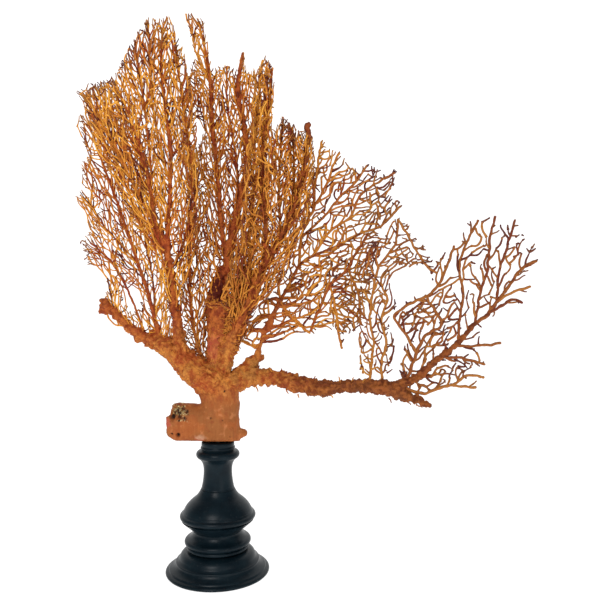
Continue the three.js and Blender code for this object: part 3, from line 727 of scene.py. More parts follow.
def grow_net(blade, layer, offset):
    """Twigs of one layer of a blade, each a list of (x, z, lift) points and whether its end is free.
    Lift, 0 to 1, is how far a point has left the veins' plane for the plane of its own layer."""
    chance = random.Random(blade["seed"] * 10 + layer)
    veins, spacing, starts = blade["veins"], blade["spacing"], blade["starts"]
    wander, leave = blade["wander"], blade["leave"]
    joins, spurs = blade.get("joins", 0.7), blade.get("spurs", 0.1)
    branch_every = blade.get("branch_every", (9, 16))
    outline = blade.get("patches", {}).get(offset, blade["outline"])
    gaps = blade.get("gaps", [])
    flow = flow_map(veins[blade.get("flow_from", 0):], blade["focus"])
    taken = collections.defaultdict(list)
    tips = collections.deque()
    twigs = []

    def put(x, z, lift, owner):
        taken[(int(x // CELL), int(z // CELL))].append((x, z, lift, owner))

    def nearby(x, z):
        cx, cz = int(x // CELL), int(z // CELL)
        for ix in (cx - 1, cx, cx + 1):
            for iz in (cz - 1, cz, cz + 1):
                yield from taken.get((ix, iz), ())

    def is_open(x, z):
        return inside(x, z, outline) and not any(inside(x, z, gap) for gap in gaps)

    def is_free(x, z):
        return all(math.hypot(nx - x, nz - z) > spacing * CLEARANCE for nx, nz, _, _ in nearby(x, z))

    def sprout(x, z, lift, heading, parent, life=400, kind="strand"):
        tips.append({"points": [(x, z, lift)], "heading": heading, "parent": parent, "name": object(),
                     "next": chance.uniform(*branch_every) / TWIG_STEP, "life": life, "kind": kind,
                     "stop": chance.uniform(0, 7) if kind == "strand" else 0})

    def branch(x, z, lift, heading, owner):
        """Start a twig on a side that has room. Where neither has, sometimes a link to the neighbour."""
        sides = [1, -1]
        chance.shuffle(sides)
        for side in sides:
            way = heading + side * SIDE_ANGLE
            if is_free(x + FEELS * spacing * math.cos(way), z + FEELS * spacing * math.sin(way)):
                if chance.random() < spurs:
                    aim = heading + side * chance.uniform(0.8, 1.5)
                    sprout(x, z, lift, aim, owner, chance.randint(1, 3), "spur")
                else:
                    sprout(x, z, lift, heading + side * leave * chance.uniform(0.8, 1.25), owner)
                return True
        if chance.random() < LINKS:
            steps = int(1.5 * spacing / TWIG_STEP) + 1
            sprout(x, z, lift, heading + sides[0] * chance.uniform(0.6, 1.1), owner, steps, "link")
            return True
        return False

    def look_around(tip, age):
        """The push that neighbours give a tip, and the nearest one that it's about to run into."""
        x, z, _ = tip["points"][-1]
        cos_h, sin_h = math.cos(tip["heading"]), math.sin(tip["heading"])
        push, hit = 0.0, None
        for nx, nz, nlift, owner in nearby(x, z):
            if owner is tip["name"] or (owner is tip["parent"] and age < 4):
                continue
            dx, dz = nx - x, nz - z
            away = math.hypot(dx, dz)
            if away > spacing * FEELS:
                continue
            ahead = dx * cos_h + dz * sin_h
            if ahead > -0.4 * away:
                push -= math.copysign(1 - away / (spacing * FEELS), dz * cos_h - dx * sin_h)
            if ahead > 0.3 * away and away < spacing * MEETS and (hit is None or away < hit[0]):
                hit = (away, nx, nz, nlift)
        return push, hit

    def grow_tips():
        while tips:
            tip = tips.popleft()
            x, z, lift = tip["points"][-1]
            age = len(tip["points"])
            strand = tip["kind"] == "strand"
            push, hit = look_around(tip, age)
            if hit:
                joined = tip["kind"] == "link" or chance.random() < joins
                if joined:
                    tip["points"].append(hit[1:])
                if age + joined > 1:
                    twigs.append((tip["points"], not joined))
                continue
            pull = FLOW_STEER if strand else 0.0
            steer = NEIGHBOUR_STEER * max(-1.2, min(1.2, push)) if strand else 0.0
            curl = wander if strand else wander * 2.5
            tip["heading"] += pull * turn_to(tip["heading"], flow(x, z)) + steer + curl * chance.gauss(0, 1)
            cos_h, sin_h = math.cos(tip["heading"]), math.sin(tip["heading"])
            nx, nz = x + TWIG_STEP * cos_h, z + TWIG_STEP * sin_h
            if age > tip["life"] or not is_open(nx + tip["stop"] * cos_h, nz + tip["stop"] * sin_h):
                if age > 1:
                    twigs.append((tip["points"], True))
                continue
            lift = min(1.0, lift + TWIG_STEP / LIFT_RUN)
            tip["points"].append((nx, nz, lift))
            put(nx, nz, lift, tip["name"])
            if age >= tip["next"] and strand:
                made = branch(nx, nz, lift, tip["heading"], tip["name"])
                tip["next"] = age + (chance.uniform(*branch_every) / TWIG_STEP if made else 1)
            tips.append(tip)

    def fill_bare_places():
        low_x, high_x = min(p[0] for p in outline), max(p[0] for p in outline)
        low_z, high_z = min(p[1] for p in outline), max(p[1] for p in outline)
        for ix in range(int((high_x - low_x) / spacing)):
            for iz in range(int((high_z - low_z) / spacing)):
                x = low_x + (ix + chance.random()) * spacing
                z = low_z + (iz + chance.random()) * spacing
                found = [(math.hypot(nx - x, nz - z), nx, nz, lift, owner)
                         for nx, nz, lift, owner in nearby(x, z)]
                near = min(found, default=None, key=lambda one: one[0])
                if near and near[0] > spacing * 1.05 and is_open(x, z):
                    _, nx, nz, lift, owner = near
                    sprout(nx, nz, lift, math.atan2(z - nz, x - nx), owner)
                    put(x, z, lift, None)
        for cell in taken.values():
            cell[:] = [point for point in cell if point[3] is not None]

    routes = [smooth_route(vein, 2.0) for vein in veins]
    every = 1 if abs(offset) < NEAR_LAYER else 8
    for number, route in enumerate(routes):
        for x, z, _ in route[::every]:
            put(x, z, 0.0, number)
    for number, route in enumerate(routes):
        travelled = chance.uniform(0, starts)
        for (ax, az, _), (bx, bz, _) in zip(route, route[1:]):
            travelled += math.hypot(bx - ax, bz - az)
            if travelled > starts:
                travelled = chance.uniform(-0.3, 0.3) * starts
                branch(ax, az, 0.0, math.atan2(bz - az, bx - ax), number)
        x, z, _ = route[-1]
        sprout(x, z, 0.0, flow(x, z), number)
    grow_tips()
    for _ in range(FILLS):
        fill_bare_places()
        grow_tips()
    return twigs


def blade_piece(name, node, blade):
    """All that grows from one fork: its thick limbs as bark, and its veins and layers of twigs. A blade has
    veins and limbs as (x, z, radius) points, the outline of its net and the gaps in it, its depth behind the
    middle plane, an offset from that for each layer, and how its twigs grow. patches are the outlines of
    layers that cover only a part, flow_from is the first vein that the twigs follow, and marks colour the
    bark. All in mm."""
    stout = [vein for vein in blade["veins"] if max(radius for _, _, radius in vein) >= STOUT_RADIUS]
    limbs = [(limb, blade["depth"]) for limb in stout + blade.get("limbs", [])]
    parts, girth, tipness, shade = [], [], [], []
    chance = random.Random(blade["seed"])

    def add_tube(path, radii, sides, ends, tone, free=True):
        points, quads, caps = tube_arrays(path, radii, sides, rounded=(False, free))
        parts.append((points, quads, caps))
        rings = len(points) // sides
        spread = np.interp(np.linspace(0, 1, rings), np.linspace(0, 1, len(radii)), radii)
        girth.extend(np.repeat(spread, sides))
        spread = np.interp(np.linspace(0, 1, rings), np.linspace(0, 1, len(ends)), ends)
        tipness.extend(np.repeat(spread, sides))
        shade.extend([tone] * len(points))

    def add_vein(vein):
        route = smooth_route(vein)
        thin = route[:, 2] < STOUT_RADIUS * 1.3
        if thin.sum() <= 2:
            return
        route = route[max(0, int(np.argmax(thin)) - 2):]
        path = []
        for x, z, _ in route:
            kink = noise.noise_vector(Vector((x / 7, z / 7, blade["seed"]))) * 1.5
            path.append(set_back(x + kink.x, z + kink.z, blade["depth"](x, z) + kink.y))
        even = blade["twig"] + 0.1 * route[:, 2] ** 1.8
        radii = even * [1 + 0.14 * chance.uniform(-1, 1) for _ in route]
        add_tube(path, radii, VEIN_SIDES, np.zeros(len(radii)), chance.random())

    def add_twig(points, free, layer, offset):
        points = np.array(points)
        if len(points) > 3:
            points[1:-1] = 0.6 * points[1:-1] + 0.2 * (points[:-2] + points[2:])
        run = np.linspace(0, 1, len(points))
        length = len(points) * TWIG_STEP
        thickness = blade["twig"] * (0.9 + 0.25 * min(1.0, length / 90)) * chance.uniform(0.88, 1.12)
        taper = 0.38 if free else 0.1
        radii = thickness * (1 - taper * run) * [1 + 0.12 * chance.uniform(-1, 1) for _ in run]
        radii[0] *= 1.25
        path = []
        for x, z, lift in points:
            swell = noise.noise(Vector((x / 38, z / 38, layer * 9.1 + blade["seed"]))) * 4.5
            swell += noise.noise(Vector((x / 9, z / 9, layer * 5.3))) * 1.3
            path.append(set_back(x, z, blade["depth"](x, z) + (offset + swell) * ease(lift)))
        to_end = (len(points) - 1 - np.arange(len(points))) * TWIG_STEP
        tip = np.maximum(0, 1 - to_end / TIP_LENGTH) * (1.0 if free else 0.0)
        add_tube(path, radii, blade.get("sides", 5), tip, chance.random(), free)

    for vein in blade["veins"]:
        add_vein(vein)
    for layer, offset in enumerate(blade["offsets"]):
        for points, free in grow_net(blade, layer, offset):
            add_twig(points, free, layer, offset)
    net = mesh_of(name, parts, (("girth", girth), ("tipness", tipness), ("shade", shade)))
    net.data.materials.append(twig_bark)
    select_only(net)
    bpy.ops.object.shade_smooth()
    if limbs:
        skin = bark_piece(name + "_bark", limbs, BLADE_RELIEF, marks=blade.get("marks", ()))
        skin.data.materials.append(bark)
        select_only(net, skin)
        bpy.ops.object.join()
    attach(net, "root")
    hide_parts(node)


def dry_twigs():
    """Ochre to rust by twig, painted shade in the dense middle, darker on the right, with purple tips."""
    paint = Paint("dry twigs")
    shade = paint.attribute("shade")
    tips = paint.attribute("tipness")
    girth = paint.attribute("girth")
    broad = paint.noise(22, 3)
    fine = paint.noise(260, 3)
    grit = paint.noise(1500, 2)
    across = paint.axis("X")
    height = paint.axis("Z")
    ochre = paint.mix(shade, tint(198, 114, 20), tint(240, 174, 66))
    rust = paint.mix(shade, tint(140, 46, 10), tint(190, 82, 20))
    dark = 1 - shade.between(0.1, 0.3)
    patches = broad.between(0.46, 0.66) * 0.5 + fine.between(0.5, 0.72) * 0.4
    colour = paint.mix((patches + dark * 0.6).clamped(), ochre, rust)
    colour = paint.mix(1 - shade.between(0.03, 0.12), colour, tint(96, 32, 14))
    colour = paint.mix(girth.between(1.4, 2.6) * 0.7, colour, tint(150, 58, 18))
    # Painted shade: darker, redder twigs in the fan's dense middle, where its layers shade each other.
    middle = across.between(-0.05, 0.0) * (1 - across.between(0.08, 0.12))
    middle_shade = middle * (1 - height.between(0.36, 0.52))
    colour = paint.mix(middle_shade * 0.5, colour, paint.mix(shade, tint(128, 46, 12), tint(192, 108, 34)))
    umber = paint.mix(shade, tint(96, 38, 20), tint(142, 74, 36))
    colour = paint.mix(across.between(0.07, 0.2) * 0.72, colour, umber)
    colour = paint.mix(tips * fine.between(0.4, 0.6) * 0.3, colour, tint(70, 32, 34))
    purple = tips.between(0.15, 0.95) * (0.25 + broad.between(0.35, 0.6) * 0.6)
    colour = paint.mix(purple, colour, tint(72, 32, 40))
    relief = fine * 0.5 + grit * 0.5
    return paint.finish(colour, 0.6 + fine * 0.2, paint.bump(relief, 0.5, 0.0004), Specular_IOR_Level=0.3)


twig_bark = dry_twigs()

LEFT_BLADE = {
    "seed": 11, "focus": (-34, 180), "offsets": (-3.5, 4.0), "spacing": 3.3, "twig": 0.84, "flow_from": 1,
    "wander": 0.16, "leave": 0.45, "starts": 4.5,
    "depth": lambda x, z: 4 - 0.24 * (x + 40) + 8 * math.sin((z - 250) / 90),
    "veins": [
        [(-6, 197, 17), (-24, 209, 15), (-40, 224, 13), (-54, 236, 10.5), (-72, 242, 7), (-88, 251, 5.6),
         (-102, 264, 5), (-113, 273, 5), (-119, 277, 6.2), (-121, 278, 5)],
        [(-60, 240, 3.2), (-66, 262, 2.6), (-74, 292, 2.2), (-84, 322, 2), (-95, 355, 1.9),
         (-108, 392, 1.7), (-122, 430, 1.4), (-136, 470, 1.0)],
        [(-84, 322, 2), (-100, 340, 1.7), (-120, 362, 1.4), (-138, 392, 1.0)],
        [(-76, 243, 2.4), (-84, 268, 2), (-97, 300, 1.8), (-114, 326, 1.4), (-134, 344, 1.0)],
        [(-108, 268, 2.6), (-112, 286, 1.8), (-116, 306, 1.2)],
        [(-66, 262, 2.4), (-68, 300, 2.1), (-76, 345, 1.9), (-86, 395, 1.7), (-98, 440, 1.4),
         (-112, 490, 1.1)],
        [(-99, 256, 1.2), (-106, 257, 0.9), (-112, 261, 0.8), (-116, 269, 0.9)],
    ],
    "limbs": [
        [(-114, 275, 5), (-119, 281, 4.6), (-121, 284, 3.6)], [(-116, 273, 4), (-123, 272, 3.6)],
        [(-104, 266, 4), (-107, 273, 3.3)], [(-66, 244, 5), (-68, 250, 3.6)],
        [(-80, 247, 4), (-83, 253, 3.3)],
    ],
    "outline": [
        (-122, 280), (-118, 300), (-124, 315), (-140, 322), (-146, 345), (-138, 356), (-138, 374),
        (-152, 390), (-143, 404), (-146, 424), (-139, 440), (-150, 470), (-142, 488), (-151, 504),
        (-135, 514), (-112, 518), (-92, 500), (-76, 460), (-66, 410), (-54, 350), (-50, 300), (-46, 234),
        (-72, 236), (-90, 247), (-104, 260), (-120, 274),
    ],
    "gaps": [[(-99, 296), (-88, 299), (-80, 288), (-84, 276), (-93, 276)]],
}
blade_piece("left_blade", "left_limb", LEFT_BLADE)


# Left stem: the reddish stem beside the trunk, whose blade makes the fan's tall left peak. It is dry bark
# and twigs, and leans forward, in front of the left limb's blade.
STEM_BLADE = {
    "seed": 23, "focus": (-46, 220), "offsets": (-6.0, -1.0, 5.0), "spacing": 3.8, "twig": 0.84,
    "wander": 0.13, "leave": 0.45, "starts": 4.5,
    "depth": lambda x, z: -6 - 0.1 * (z - 250) + 0.1 * (x + 50),
    "veins": [
        [(-38, 226, 8.5), (-41, 244, 7), (-44, 266, 5.2), (-47, 290, 4.6), (-50, 315, 4), (-53, 340, 3.4),
         (-52, 370, 2.6), (-50, 405, 2.2), (-50, 445, 2.2), (-56, 490, 1.9), (-60, 535, 1.5),
         (-57, 576, 1.0)],
        [(-53, 335, 3.6), (-64, 358, 3), (-70, 390, 2.4), (-78, 430, 2), (-92, 475, 1.6), (-108, 513, 1.0)],
        [(-70, 390, 2), (-72, 440, 1.8), (-78, 490, 1.5), (-84, 530, 1.2), (-88, 556, 0.9)],
        [(-64, 358, 2), (-84, 395, 1.7), (-104, 435, 1.5), (-126, 478, 1.2), (-141, 500, 0.9)],
        [(-50, 405, 1.8), (-62, 450, 1.7), (-70, 500, 1.5), (-72, 545, 1.2), (-74, 578, 0.9)],
        [(-48, 318, 2.6), (-36, 345, 2.2), (-28, 385, 1.9), (-28, 430, 1.7), (-36, 480, 1.4),
         (-42, 530, 1.2), (-46, 564, 0.9)],
    ],
    "outline": [
        (-50, 262), (-58, 300), (-68, 330), (-88, 362), (-108, 400), (-128, 440), (-139, 478),
        (-147, 502), (-128, 512), (-112, 520), (-102, 536), (-95, 552), (-84, 570), (-75, 582),
        (-62, 580), (-52, 586), (-44, 568), (-36, 548), (-28, 515), (-22, 480), (-18, 420), (-20, 360),
        (-26, 320), (-36, 290), (-38, 265),
    ],
}
blade_piece("stem_blade", "left_stem", STEM_BLADE)


# Back stem: the stem behind the broken one, with the blade that makes the fan's middle peaks. It is dry bark
# and twigs, and its two short limbs are what is left of the torn wall behind the break.
BACK_BLADE = {
    "seed": 37, "focus": (0, 190), "offsets": (-8.0, -3.0, 5.5), "spacing": 3.7, "twig": 0.86,
    "wander": 0.18, "leave": 0.45, "starts": 4.5,
    "depth": lambda x, z: 13 + 0.03 * (z - 200) - 0.08 * (x - 10),
    "veins": [
        [(2, 198, 11), (3, 240, 8), (6, 290, 5.6), (13, 340, 4.4), (23, 390, 4), (31, 430, 3.8),
         (27, 470, 3.6), (21, 505, 3.2), (26, 544, 1.8)],
        [(9, 315, 3.5), (3, 370, 3), (-1, 420, 2.8), (-6, 470, 2.6), (-8, 515, 2.2), (-14, 550, 1.6),
         (-21, 580, 1)],
        [(-8, 515, 1.8), (-22, 540, 1.4), (-27, 565, 1.1), (-34, 585, 0.9)],
        [(-10, 204, 5), (-22, 238, 2.4), (-28, 275, 2), (-30, 330, 1.8), (-24, 390, 1.6), (-30, 440, 1.4),
         (-36, 488, 1.1)],
        [(23, 390, 2.8), (18, 440, 2.2), (10, 490, 1.7), (9, 530, 1.1)],
        [(31, 430, 2.4), (42, 470, 1.9), (44, 528, 1.1)],
    ],
    "outline": [
        (-14, 208), (-30, 230), (-38, 262), (-40, 300), (-36, 340), (-34, 400), (-40, 450), (-42, 500),
        (-32, 520), (-26, 540), (-35, 586), (-28, 588), (-20, 582), (-14, 580), (-10, 550), (-4, 530),
        (10, 534), (20, 528), (27, 544), (32, 526), (46, 532), (52, 518), (56, 480), (54, 440), (56, 400),
        (46, 350), (36, 310), (24, 285), (14, 262), (-10, 262), (-10, 215),
    ],
    "gaps": [[(-32, 448), (-24, 474), (-14, 464), (-22, 446)]],
    "limbs": [
        [(-1, 240, 10), (-1, 280, 11), (1, 300, 9), (4, 316, 5)], [(14, 262, 8), (20, 284, 8), (24, 306, 5)],
    ],
    # The mark deep is painted shade: the hollow behind the break, dark red-brown on the back stem's bark.
    "marks": [("deep", lambda point: near_mark(point, -2, 296, 12, 20, 0.7))],
}
blade_piece("back_blade", "back_stem", BACK_BLADE)


# Front stem: the thick stem that leans right, blunt at its top, with a dense blade in front of the rest. It
# is dry bark and twigs, four layers deep.
FRONT_BLADE = {
    "seed": 41, "focus": (24, 200), "offsets": (-10.5, -7.0, -3.0, 2.0), "spacing": 3.5, "twig": 0.84,
    "wander": 0.2, "branch_every": (7, 12), "leave": 0.45, "starts": 4.5,
    "depth": lambda x, z: -7 - 0.06 * (z - 230) - 0.03 * (x - 10),
    "veins": [
        [(4, 212, 10), (13, 240, 9.6), (25, 264, 7.5), (36, 292, 6), (50, 322, 5), (66, 350, 4.6),
         (79, 380, 4.4), (88, 412, 4), (93, 436, 3.4), (94.5, 455, 3), (94.8, 469, 2.7)],
        [(50, 322, 4), (50, 365, 3.6), (46, 410, 3.2), (48, 450, 3), (54, 492, 2.2), (57, 528, 1.3)],
        [(66, 350, 3), (64, 395, 2.4), (66, 440, 1.8), (69, 476, 1.1)],
        [(79, 380, 2.6), (80, 425, 1.9), (79, 466, 1.1)],
        [(36, 292, 3), (33, 340, 2.4), (36, 390, 2), (38, 440, 1.8), (42, 490, 1.4), (47, 536, 1)],
    ],
    "outline": [
        (14, 232), (12, 262), (2, 284), (8, 306), (18, 336), (26, 380), (28, 430), (34, 480), (40, 523),
        (50, 542), (59, 530), (60, 490), (56, 460), (68, 478), (80, 470), (90, 460), (94, 471),
        (100, 458), (104, 430), (102, 400), (97, 375), (89, 352), (80, 330), (73, 312), (64, 299),
        (55, 289), (42, 276), (36, 262), (28, 240),
    ],
}
blade_piece("front_blade", "front_stem", FRONT_BLADE)


# Broken stem: a stout stem of rough bark, snapped off square, hollow and frayed at the break. Short stray
# twigs stand round its rim, lie across it, and felt its front and the foot of the front stem.
BROKEN_STEM = [(1, 205, 12.5), (2, 230, 13.5), (4, 255, 14.5), (4, 279, 15), (4, 292, 15)]
STEM_RELIEF = {"flutes": 1.8, "lumps": 2.0, "grit": 0.9, "rings": 0.1}
BREAK_X = 4
BREAK_Y = -2
BREAK_HEIGHT = 280.0
HOLLOW_DEPTH = 6
HOLLOW_REACH = 11
RIM_FRAYS = 90
CROSS_FIBRES = 40
FELT_TWIGS = 640
FELT_FOOT = 220
FIBRE_RADIUS = 0.55
WISP_RADIUS = 0.6
WISP_SIDES = 5
WISP_TAPER = np.array([1.3, 1.0, 0.95, 0.9, 0.8, 0.6])
WISP_CROOK = 0.12
WISP_TIP = 0.6


def snapped(point):
    point = point.copy()
    away = math.hypot(point.x - BREAK_X, point.y - BREAK_Y)
    top = BREAK_HEIGHT + 2.2 * noise.fractal(Vector((point.x / 4, point.y / 4, 1)), 0.7, 2.2, 3)
    top -= HOLLOW_DEPTH * ease(1 - away / HOLLOW_REACH)
    point.z = min(point.z, top)
    return point


def red_side(point):
    return 0.6 * near_mark(point, -3, 234, 9, 20, 0.6)


def rim_frays():
    for _ in range(RIM_FRAYS):
        turn = chance.uniform(0, math.tau)
        root = (BREAK_X + 14 * math.cos(turn), BREAK_Y + 10 * math.sin(turn), BREAK_HEIGHT - 2)
        tip_x, tip_y = root[0] + chance.uniform(-6, 6), root[1] + chance.uniform(-3, 1)
        yield root, (tip_x, tip_y, root[2] + chance.uniform(1, 8)), WISP_RADIUS


def cross_fibres():
    for _ in range(CROSS_FIBRES):
        root = (chance.uniform(-12, 12), -14 - chance.uniform(0, 2), BREAK_HEIGHT + chance.uniform(-3, 3))
        tip = (root[0] + chance.uniform(4, 12), root[1], root[2] + chance.uniform(-3, 3))
        yield root, tip, FIBRE_RADIUS


def felt_twigs():
    for _ in range(FELT_TWIGS):
        height = chance.uniform(226, 318)
        x = 2 + (height - FELT_FOOT) * 0.26 + chance.uniform(-4, 15)
        front = -13.5 - 0.02 * (height - FELT_FOOT) + 0.35 * abs(x - 14)
        turn = chance.uniform(0, math.tau)
        reach = chance.uniform(3, 7)
        tip_front = front - chance.uniform(0.5, 2.5)
        tip = (x + reach * math.cos(turn), tip_front, height + reach * math.sin(turn))
        yield (x, front, height), tip, WISP_RADIUS


def wisps(name, roots):
    """Short stray twigs. roots are (start, end, radius) in mm, and each is slightly crooked."""
    parts, girth, tipness, shade = [], [], [], []
    for number, (start, end, radius) in enumerate(roots):
        run = np.linspace(0, 1, len(WISP_TAPER))[:, None]
        path = (1 - run) * np.array(start) + run * np.array(end)
        length = np.linalg.norm(np.array(end) - np.array(start))
        for k in range(1, len(WISP_TAPER)):
            crook = [noise.noise(Vector((k * 1.7, number * 3.1, axis * 5.3))) for axis in range(3)]
            path[k] += WISP_CROOK * length * np.array(crook)
        parts.append(tube_arrays(path, radius * WISP_TAPER, WISP_SIDES, rounded=(False, True)))
        count = len(parts[-1][0])
        girth.extend([radius] * count)
        tipness.extend(np.repeat(np.linspace(0, WISP_TIP, count // WISP_SIDES), WISP_SIDES))
        shade.extend([number * 0.37 % 1.0] * count)
    piece = mesh_of(name, parts, (("girth", girth), ("tipness", tipness), ("shade", shade)))
    piece.data.materials.append(twig_bark)
    select_only(piece)
    bpy.ops.object.shade_smooth()
    return piece


broken_stem = bark_piece("broken_stem_bark", [(BROKEN_STEM, lambda x, z: -2.0)], STEM_RELIEF,
                         flatten=0.8, shape=snapped, marks=(("pink", red_side),))
broken_stem.data.materials.append(bark)
chance = random.Random(5)
stray_twigs = wisps("broken_stem_frays", [*rim_frays(), *cross_fibres(), *felt_twigs()])
select_only(broken_stem, stray_twigs)
bpy.ops.object.join()
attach(broken_stem, "root")
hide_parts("broken_stem")


# Right stem: a stubby limb that turns into a flat, dark lattice, the open middle of the fan's right side.
# Its twigs are coarser and further apart than those of the left blades.
RIGHT_BLADE = {
    "seed": 53, "focus": (40, 235), "offsets": (-3.0, 2.5, 5.5), "spacing": 4.4, "twig": 1.16, "spurs": 0.2,
    "joins": 0.6, "starts": 9, "wander": 0.24, "leave": 0.9, "sides": 6,
    "depth": lambda x, z: 3 + 0.13 * (x - 22) + 6 * math.sin((z - 230) / 60),
    "veins": [
        [(16, 196, 11), (28, 208, 8.5), (37, 219, 6.6), (42, 229, 3), (45, 238, 1.9), (50, 252, 3),
         (57, 266, 2.8), (66, 284, 2.2), (76, 302, 2.1), (86, 320, 2), (100, 330, 1.8), (124, 340, 1.8),
         (150, 354, 1.6), (172, 362, 1.4), (192, 382, 1)],
        [(40, 223, 4), (47, 224, 3.4)],
        [(86, 320, 2.8), (88, 350, 2.2), (100, 378, 1.9), (114, 406, 1.6), (127, 438, 1)],
        [(88, 350, 1.8), (112, 372, 1.6), (128, 392, 1.5), (141, 404, 1.4), (157, 425, 1)],
        [(100, 330, 1.8), (118, 356, 1.6), (140, 372, 1.5), (152, 396, 1.4), (186, 418, 1)],
        [(63, 284, 2.4), (76, 268, 2.4), (87, 258, 2.2), (96, 249, 1.6)],
        [(97, 250, 2), (106, 272, 2), (118, 298, 2.2), (136, 316, 2.3), (148, 338, 2), (158, 352, 1.6)],
        [(118, 298, 1.7), (124, 274, 1.6), (127, 250, 1.4), (131, 233, 1.2)],
        [(136, 316, 1.6), (148, 288, 1.5), (151, 258, 1.2)],
        [(54, 266, 1.8), (40, 262, 1.4), (26, 246, 1)],
        [(100, 378, 1.4), (104, 420, 1.2), (109, 450, 0.9)],
        [(52, 256, 3), (66, 257, 1.8), (80, 264, 1.5), (94, 268, 1.1)],
        [(47, 246, 2.6), (60, 247, 1.8), (74, 252, 1.1)],
        [(46, 240, 2), (56, 240, 1.6), (68, 243, 1)],
        [(50, 252, 2.8), (41, 253, 2), (31, 252, 1.4), (22, 244, 1)],
        [(58, 266, 2.8), (46, 268, 1.8), (36, 262, 1.3), (28, 262, 1)],
        [(46, 242, 2), (39, 242, 1.4), (36, 238, 1.2), (40, 236, 1)],
        [(62, 278, 2.6), (52, 284, 1.8), (44, 278, 1.1)],
        [(62, 276, 2.6), (76, 278, 1.8), (88, 288, 1.3), (102, 290, 1)],
        [(66, 284, 2.4), (64, 300, 1.8), (70, 322, 1.4), (76, 340, 1)],
        [(21, 244, 1.1), (30, 239, 1), (40, 233, 1.2)],
    ],
    "outline": [
        (17, 240), (30, 254), (40, 272), (50, 290), (64, 308), (78, 340), (90, 380), (100, 430), (110, 455),
        (118, 444), (133, 442), (134, 428), (150, 424), (160, 430), (176, 418), (190, 424), (189, 404),
        (180, 398), (196, 384), (186, 370), (172, 356), (168, 330), (164, 300), (158, 270), (152, 252),
        (138, 248), (132, 232), (124, 250),
        (110, 254), (98, 246), (88, 250), (80, 248), (60, 240), (46, 234), (30, 238),
    ],
    "patches": {5.5: [
        (68, 262), (76, 296), (92, 322), (124, 332), (152, 322), (157, 290), (151, 256), (138, 250),
        (132, 236), (124, 252), (110, 255), (98, 248), (84, 256),
    ]},
    "limbs": [
        [(50, 252, 2.8), (64, 257, 1.9), (78, 264, 1.5)], [(50, 250, 2.8), (42, 252, 2.1), (33, 250, 1.5)],
        [(57, 266, 2.8), (47, 267, 2), (38, 262, 1.5)], [(62, 277, 2.6), (76, 280, 1.8), (88, 287, 1.5)],
        [(46, 243, 2.6), (58, 246, 1.9), (70, 251, 1.5)], [(66, 284, 2.6), (57, 285, 1.9), (49, 279, 1.5)],
        [(70, 293, 2.5), (84, 296, 1.8), (96, 304, 1.5)], [(53, 252, 2.4), (56, 262, 3.2), (60, 270, 2.4)],
    ],
}
blade_piece("right_blade", "right_stem", RIGHT_BLADE)


# Right arm: a long rough bough of lumpy bark, nearly level, with a blunt hanging tail and broken spurs
# along it, each given by where it stands and how far it points across and up.
ARM = [(12, 197, 12.5), (36, 203, 9.5), (60, 202, 8), (80, 196, 9), (98, 193, 8.6), (112, 191, 7.4),
       (132, 193, 6.5), (158, 193, 6.8), (180, 191, 8), (192, 187, 7), (206, 180, 4.6), (222, 173, 3.2)]
ARM_RELIEF = {"flutes": 0.5, "lumps": 2.8, "grit": 0.8, "rings": 1.4}
ARM_SPURS = [
    (42, 210, 3, 8), (52, 209, 6, 5), (57, 209, -4, 6), (100, 200, 3, 7), (40, 195, 4, -9),
    (30, 194, -3, -7), (72, 191, 3, -7), (84, 186, 2, -6), (118, 186, 4, -6), (140, 199, 2, 7),
    (150, 198, 5, 6), (66, 208, 2, 6), (128, 199, -2, 8), (168, 198, 3, 7), (178, 183, 4, -7),
    (196, 180, 7, -6), (206, 176, 8, -3),
]
SPUR_REACH = 0.7
SPUR_RADIUS = 0.8


def arm_depth(x, _z):
    return -0.055 * x


def arm_spurs():
    for x, z, right, up in ARM_SPURS:
        front = arm_depth(x, z) - 3
        tip = (x + SPUR_REACH * right, front + chance.uniform(-4, 2), z + SPUR_REACH * up)
        yield (x, front, z), tip, SPUR_RADIUS


arm = bark_piece("right_arm_bark", [(ARM, arm_depth)], ARM_RELIEF)
arm.data.materials.append(bark)
spurs = wisps("right_arm_spurs", arm_spurs())
select_only(arm, spurs)
bpy.ops.object.join()
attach(arm, "root")
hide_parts("right_arm")


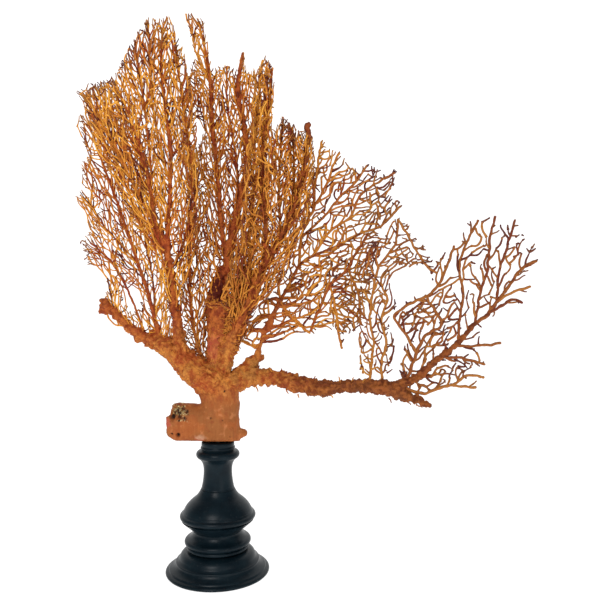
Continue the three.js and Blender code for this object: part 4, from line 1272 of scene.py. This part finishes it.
# Arm fan: the small open fan at the end of the arm, all loops and short spurs of coarse dry twigs. It grows
# from the top of the arm's end.
ARM_BLADE = {
    "seed": 67, "focus": (186, 180), "offsets": (0.5, 3.5), "spacing": 4.9, "twig": 1.3, "spurs": 0.3,
    "joins": 0.65, "starts": 10, "wander": 0.22, "leave": 0.95, "sides": 6,
    "depth": lambda x, z: -11 + 0.12 * (x - 185) + 0.05 * (z - 200),
    "veins": [
        [(186, 193, 6.5), (200, 197, 5.2), (213, 206, 4.4), (226, 217, 3.8), (240, 228, 3.2),
         (254, 240, 2.8), (270, 258, 2.6), (283, 268, 2.3), (293, 281, 2.1), (306, 298, 1.9),
         (318, 315, 1.8), (335, 325, 2)],
        [(196, 196, 3), (203, 211, 2.5), (209, 228, 2.2), (218, 246, 2), (235, 257, 1.9), (228, 274, 1.7),
         (221, 285, 1.8), (232, 300, 1.7), (241, 318, 1.5), (249, 341, 1.5)],
        [(209, 228, 1.8), (196, 250, 1.4), (186, 266, 1.3), (198, 278, 1.5), (221, 288, 1.5)],
        [(254, 240, 1.8), (254, 262, 1.6), (258, 290, 1.5), (254, 318, 1.4), (262, 345, 1.2),
         (274, 368, 0.9)],
        [(270, 258, 1.8), (276, 290, 1.5), (284, 318, 1.4), (286, 345, 1.2), (292, 372, 0.9)],
        [(293, 281, 1.8), (296, 312, 1.4), (303, 335, 1.2), (313, 368, 0.9)],
        [(283, 268, 1.9), (300, 279, 1.8), (312, 285, 1.6), (321, 281, 1.4)],
        [(293, 281, 1.6), (310, 292, 1.4), (329, 298, 1.1)],
        [(250, 236, 1.6), (272, 236, 1.4), (297, 238, 1.1)],
        [(236, 224, 1.7), (260, 222, 1.5), (281, 216, 1.1)],
        [(196, 192, 2.6), (214, 186, 2), (232, 191, 2), (246, 194, 1.8), (262, 204, 1.4), (279, 203, 1)],
        [(246, 194, 1.6), (271, 192, 1.1)],
    ],
    "outline": [
        (186, 204), (200, 250), (184, 262), (192, 284), (222, 296), (226, 330), (244, 336), (251, 346),
        (262, 368), (278, 372), (292, 376), (300, 364), (315, 372), (321, 350), (333, 348), (340, 330),
        (326, 312), (314, 298), (331, 297), (323, 278), (300, 276), (280, 256), (276, 244), (297, 240),
        (270, 232), (283, 216), (266, 208), (281, 203), (273, 190), (244, 188), (214, 182), (200, 188),
    ],
    "patches": {3.5: [
        (188, 204), (200, 250), (190, 264), (212, 284), (232, 282), (250, 262), (244, 234), (272, 204),
        (240, 190), (200, 190),
    ]},
}
blade_piece("arm_blade", "arm_fan", ARM_BLADE)


# Arm riser: the upright slip of dry twigs on the arm, which reaches up between the right stem's lattice and
# the arm fan. It has no thick limb, only veins.
RISER_BLADE = {
    "seed": 79, "focus": (165, 150), "offsets": (-1.5, 2.0), "spacing": 4.7, "twig": 1.1, "spurs": 0.3,
    "joins": 0.6, "starts": 9, "wander": 0.22, "leave": 0.9, "sides": 6,
    "depth": lambda x, z: -9 + 0.04 * (z - 200),
    "veins": [
        [(160, 190, 2.6), (161, 215, 2), (164, 240, 1.8), (160, 266, 1.8), (163, 292, 1.7), (170, 318, 1.6),
         (186, 342, 1.4), (190, 368, 1)],
        [(174, 190, 2.4), (172, 215, 1.8), (177, 240, 1.7), (172, 262, 1.5), (178, 284, 1.3),
         (172, 300, 1)],
        [(190, 368, 1.2), (202, 348, 1.4), (218, 322, 1.5), (229, 313, 1.8)],
    ],
    "outline": [
        (149, 205), (148, 250), (150, 300), (156, 345), (176, 352), (186, 372), (198, 371), (208, 352),
        (231, 326), (231, 308), (214, 316), (188, 318), (180, 300), (190, 280), (180, 260), (188, 240),
        (184, 206),
    ],
}
blade_piece("riser_blade", "arm_riser", RISER_BLADE)
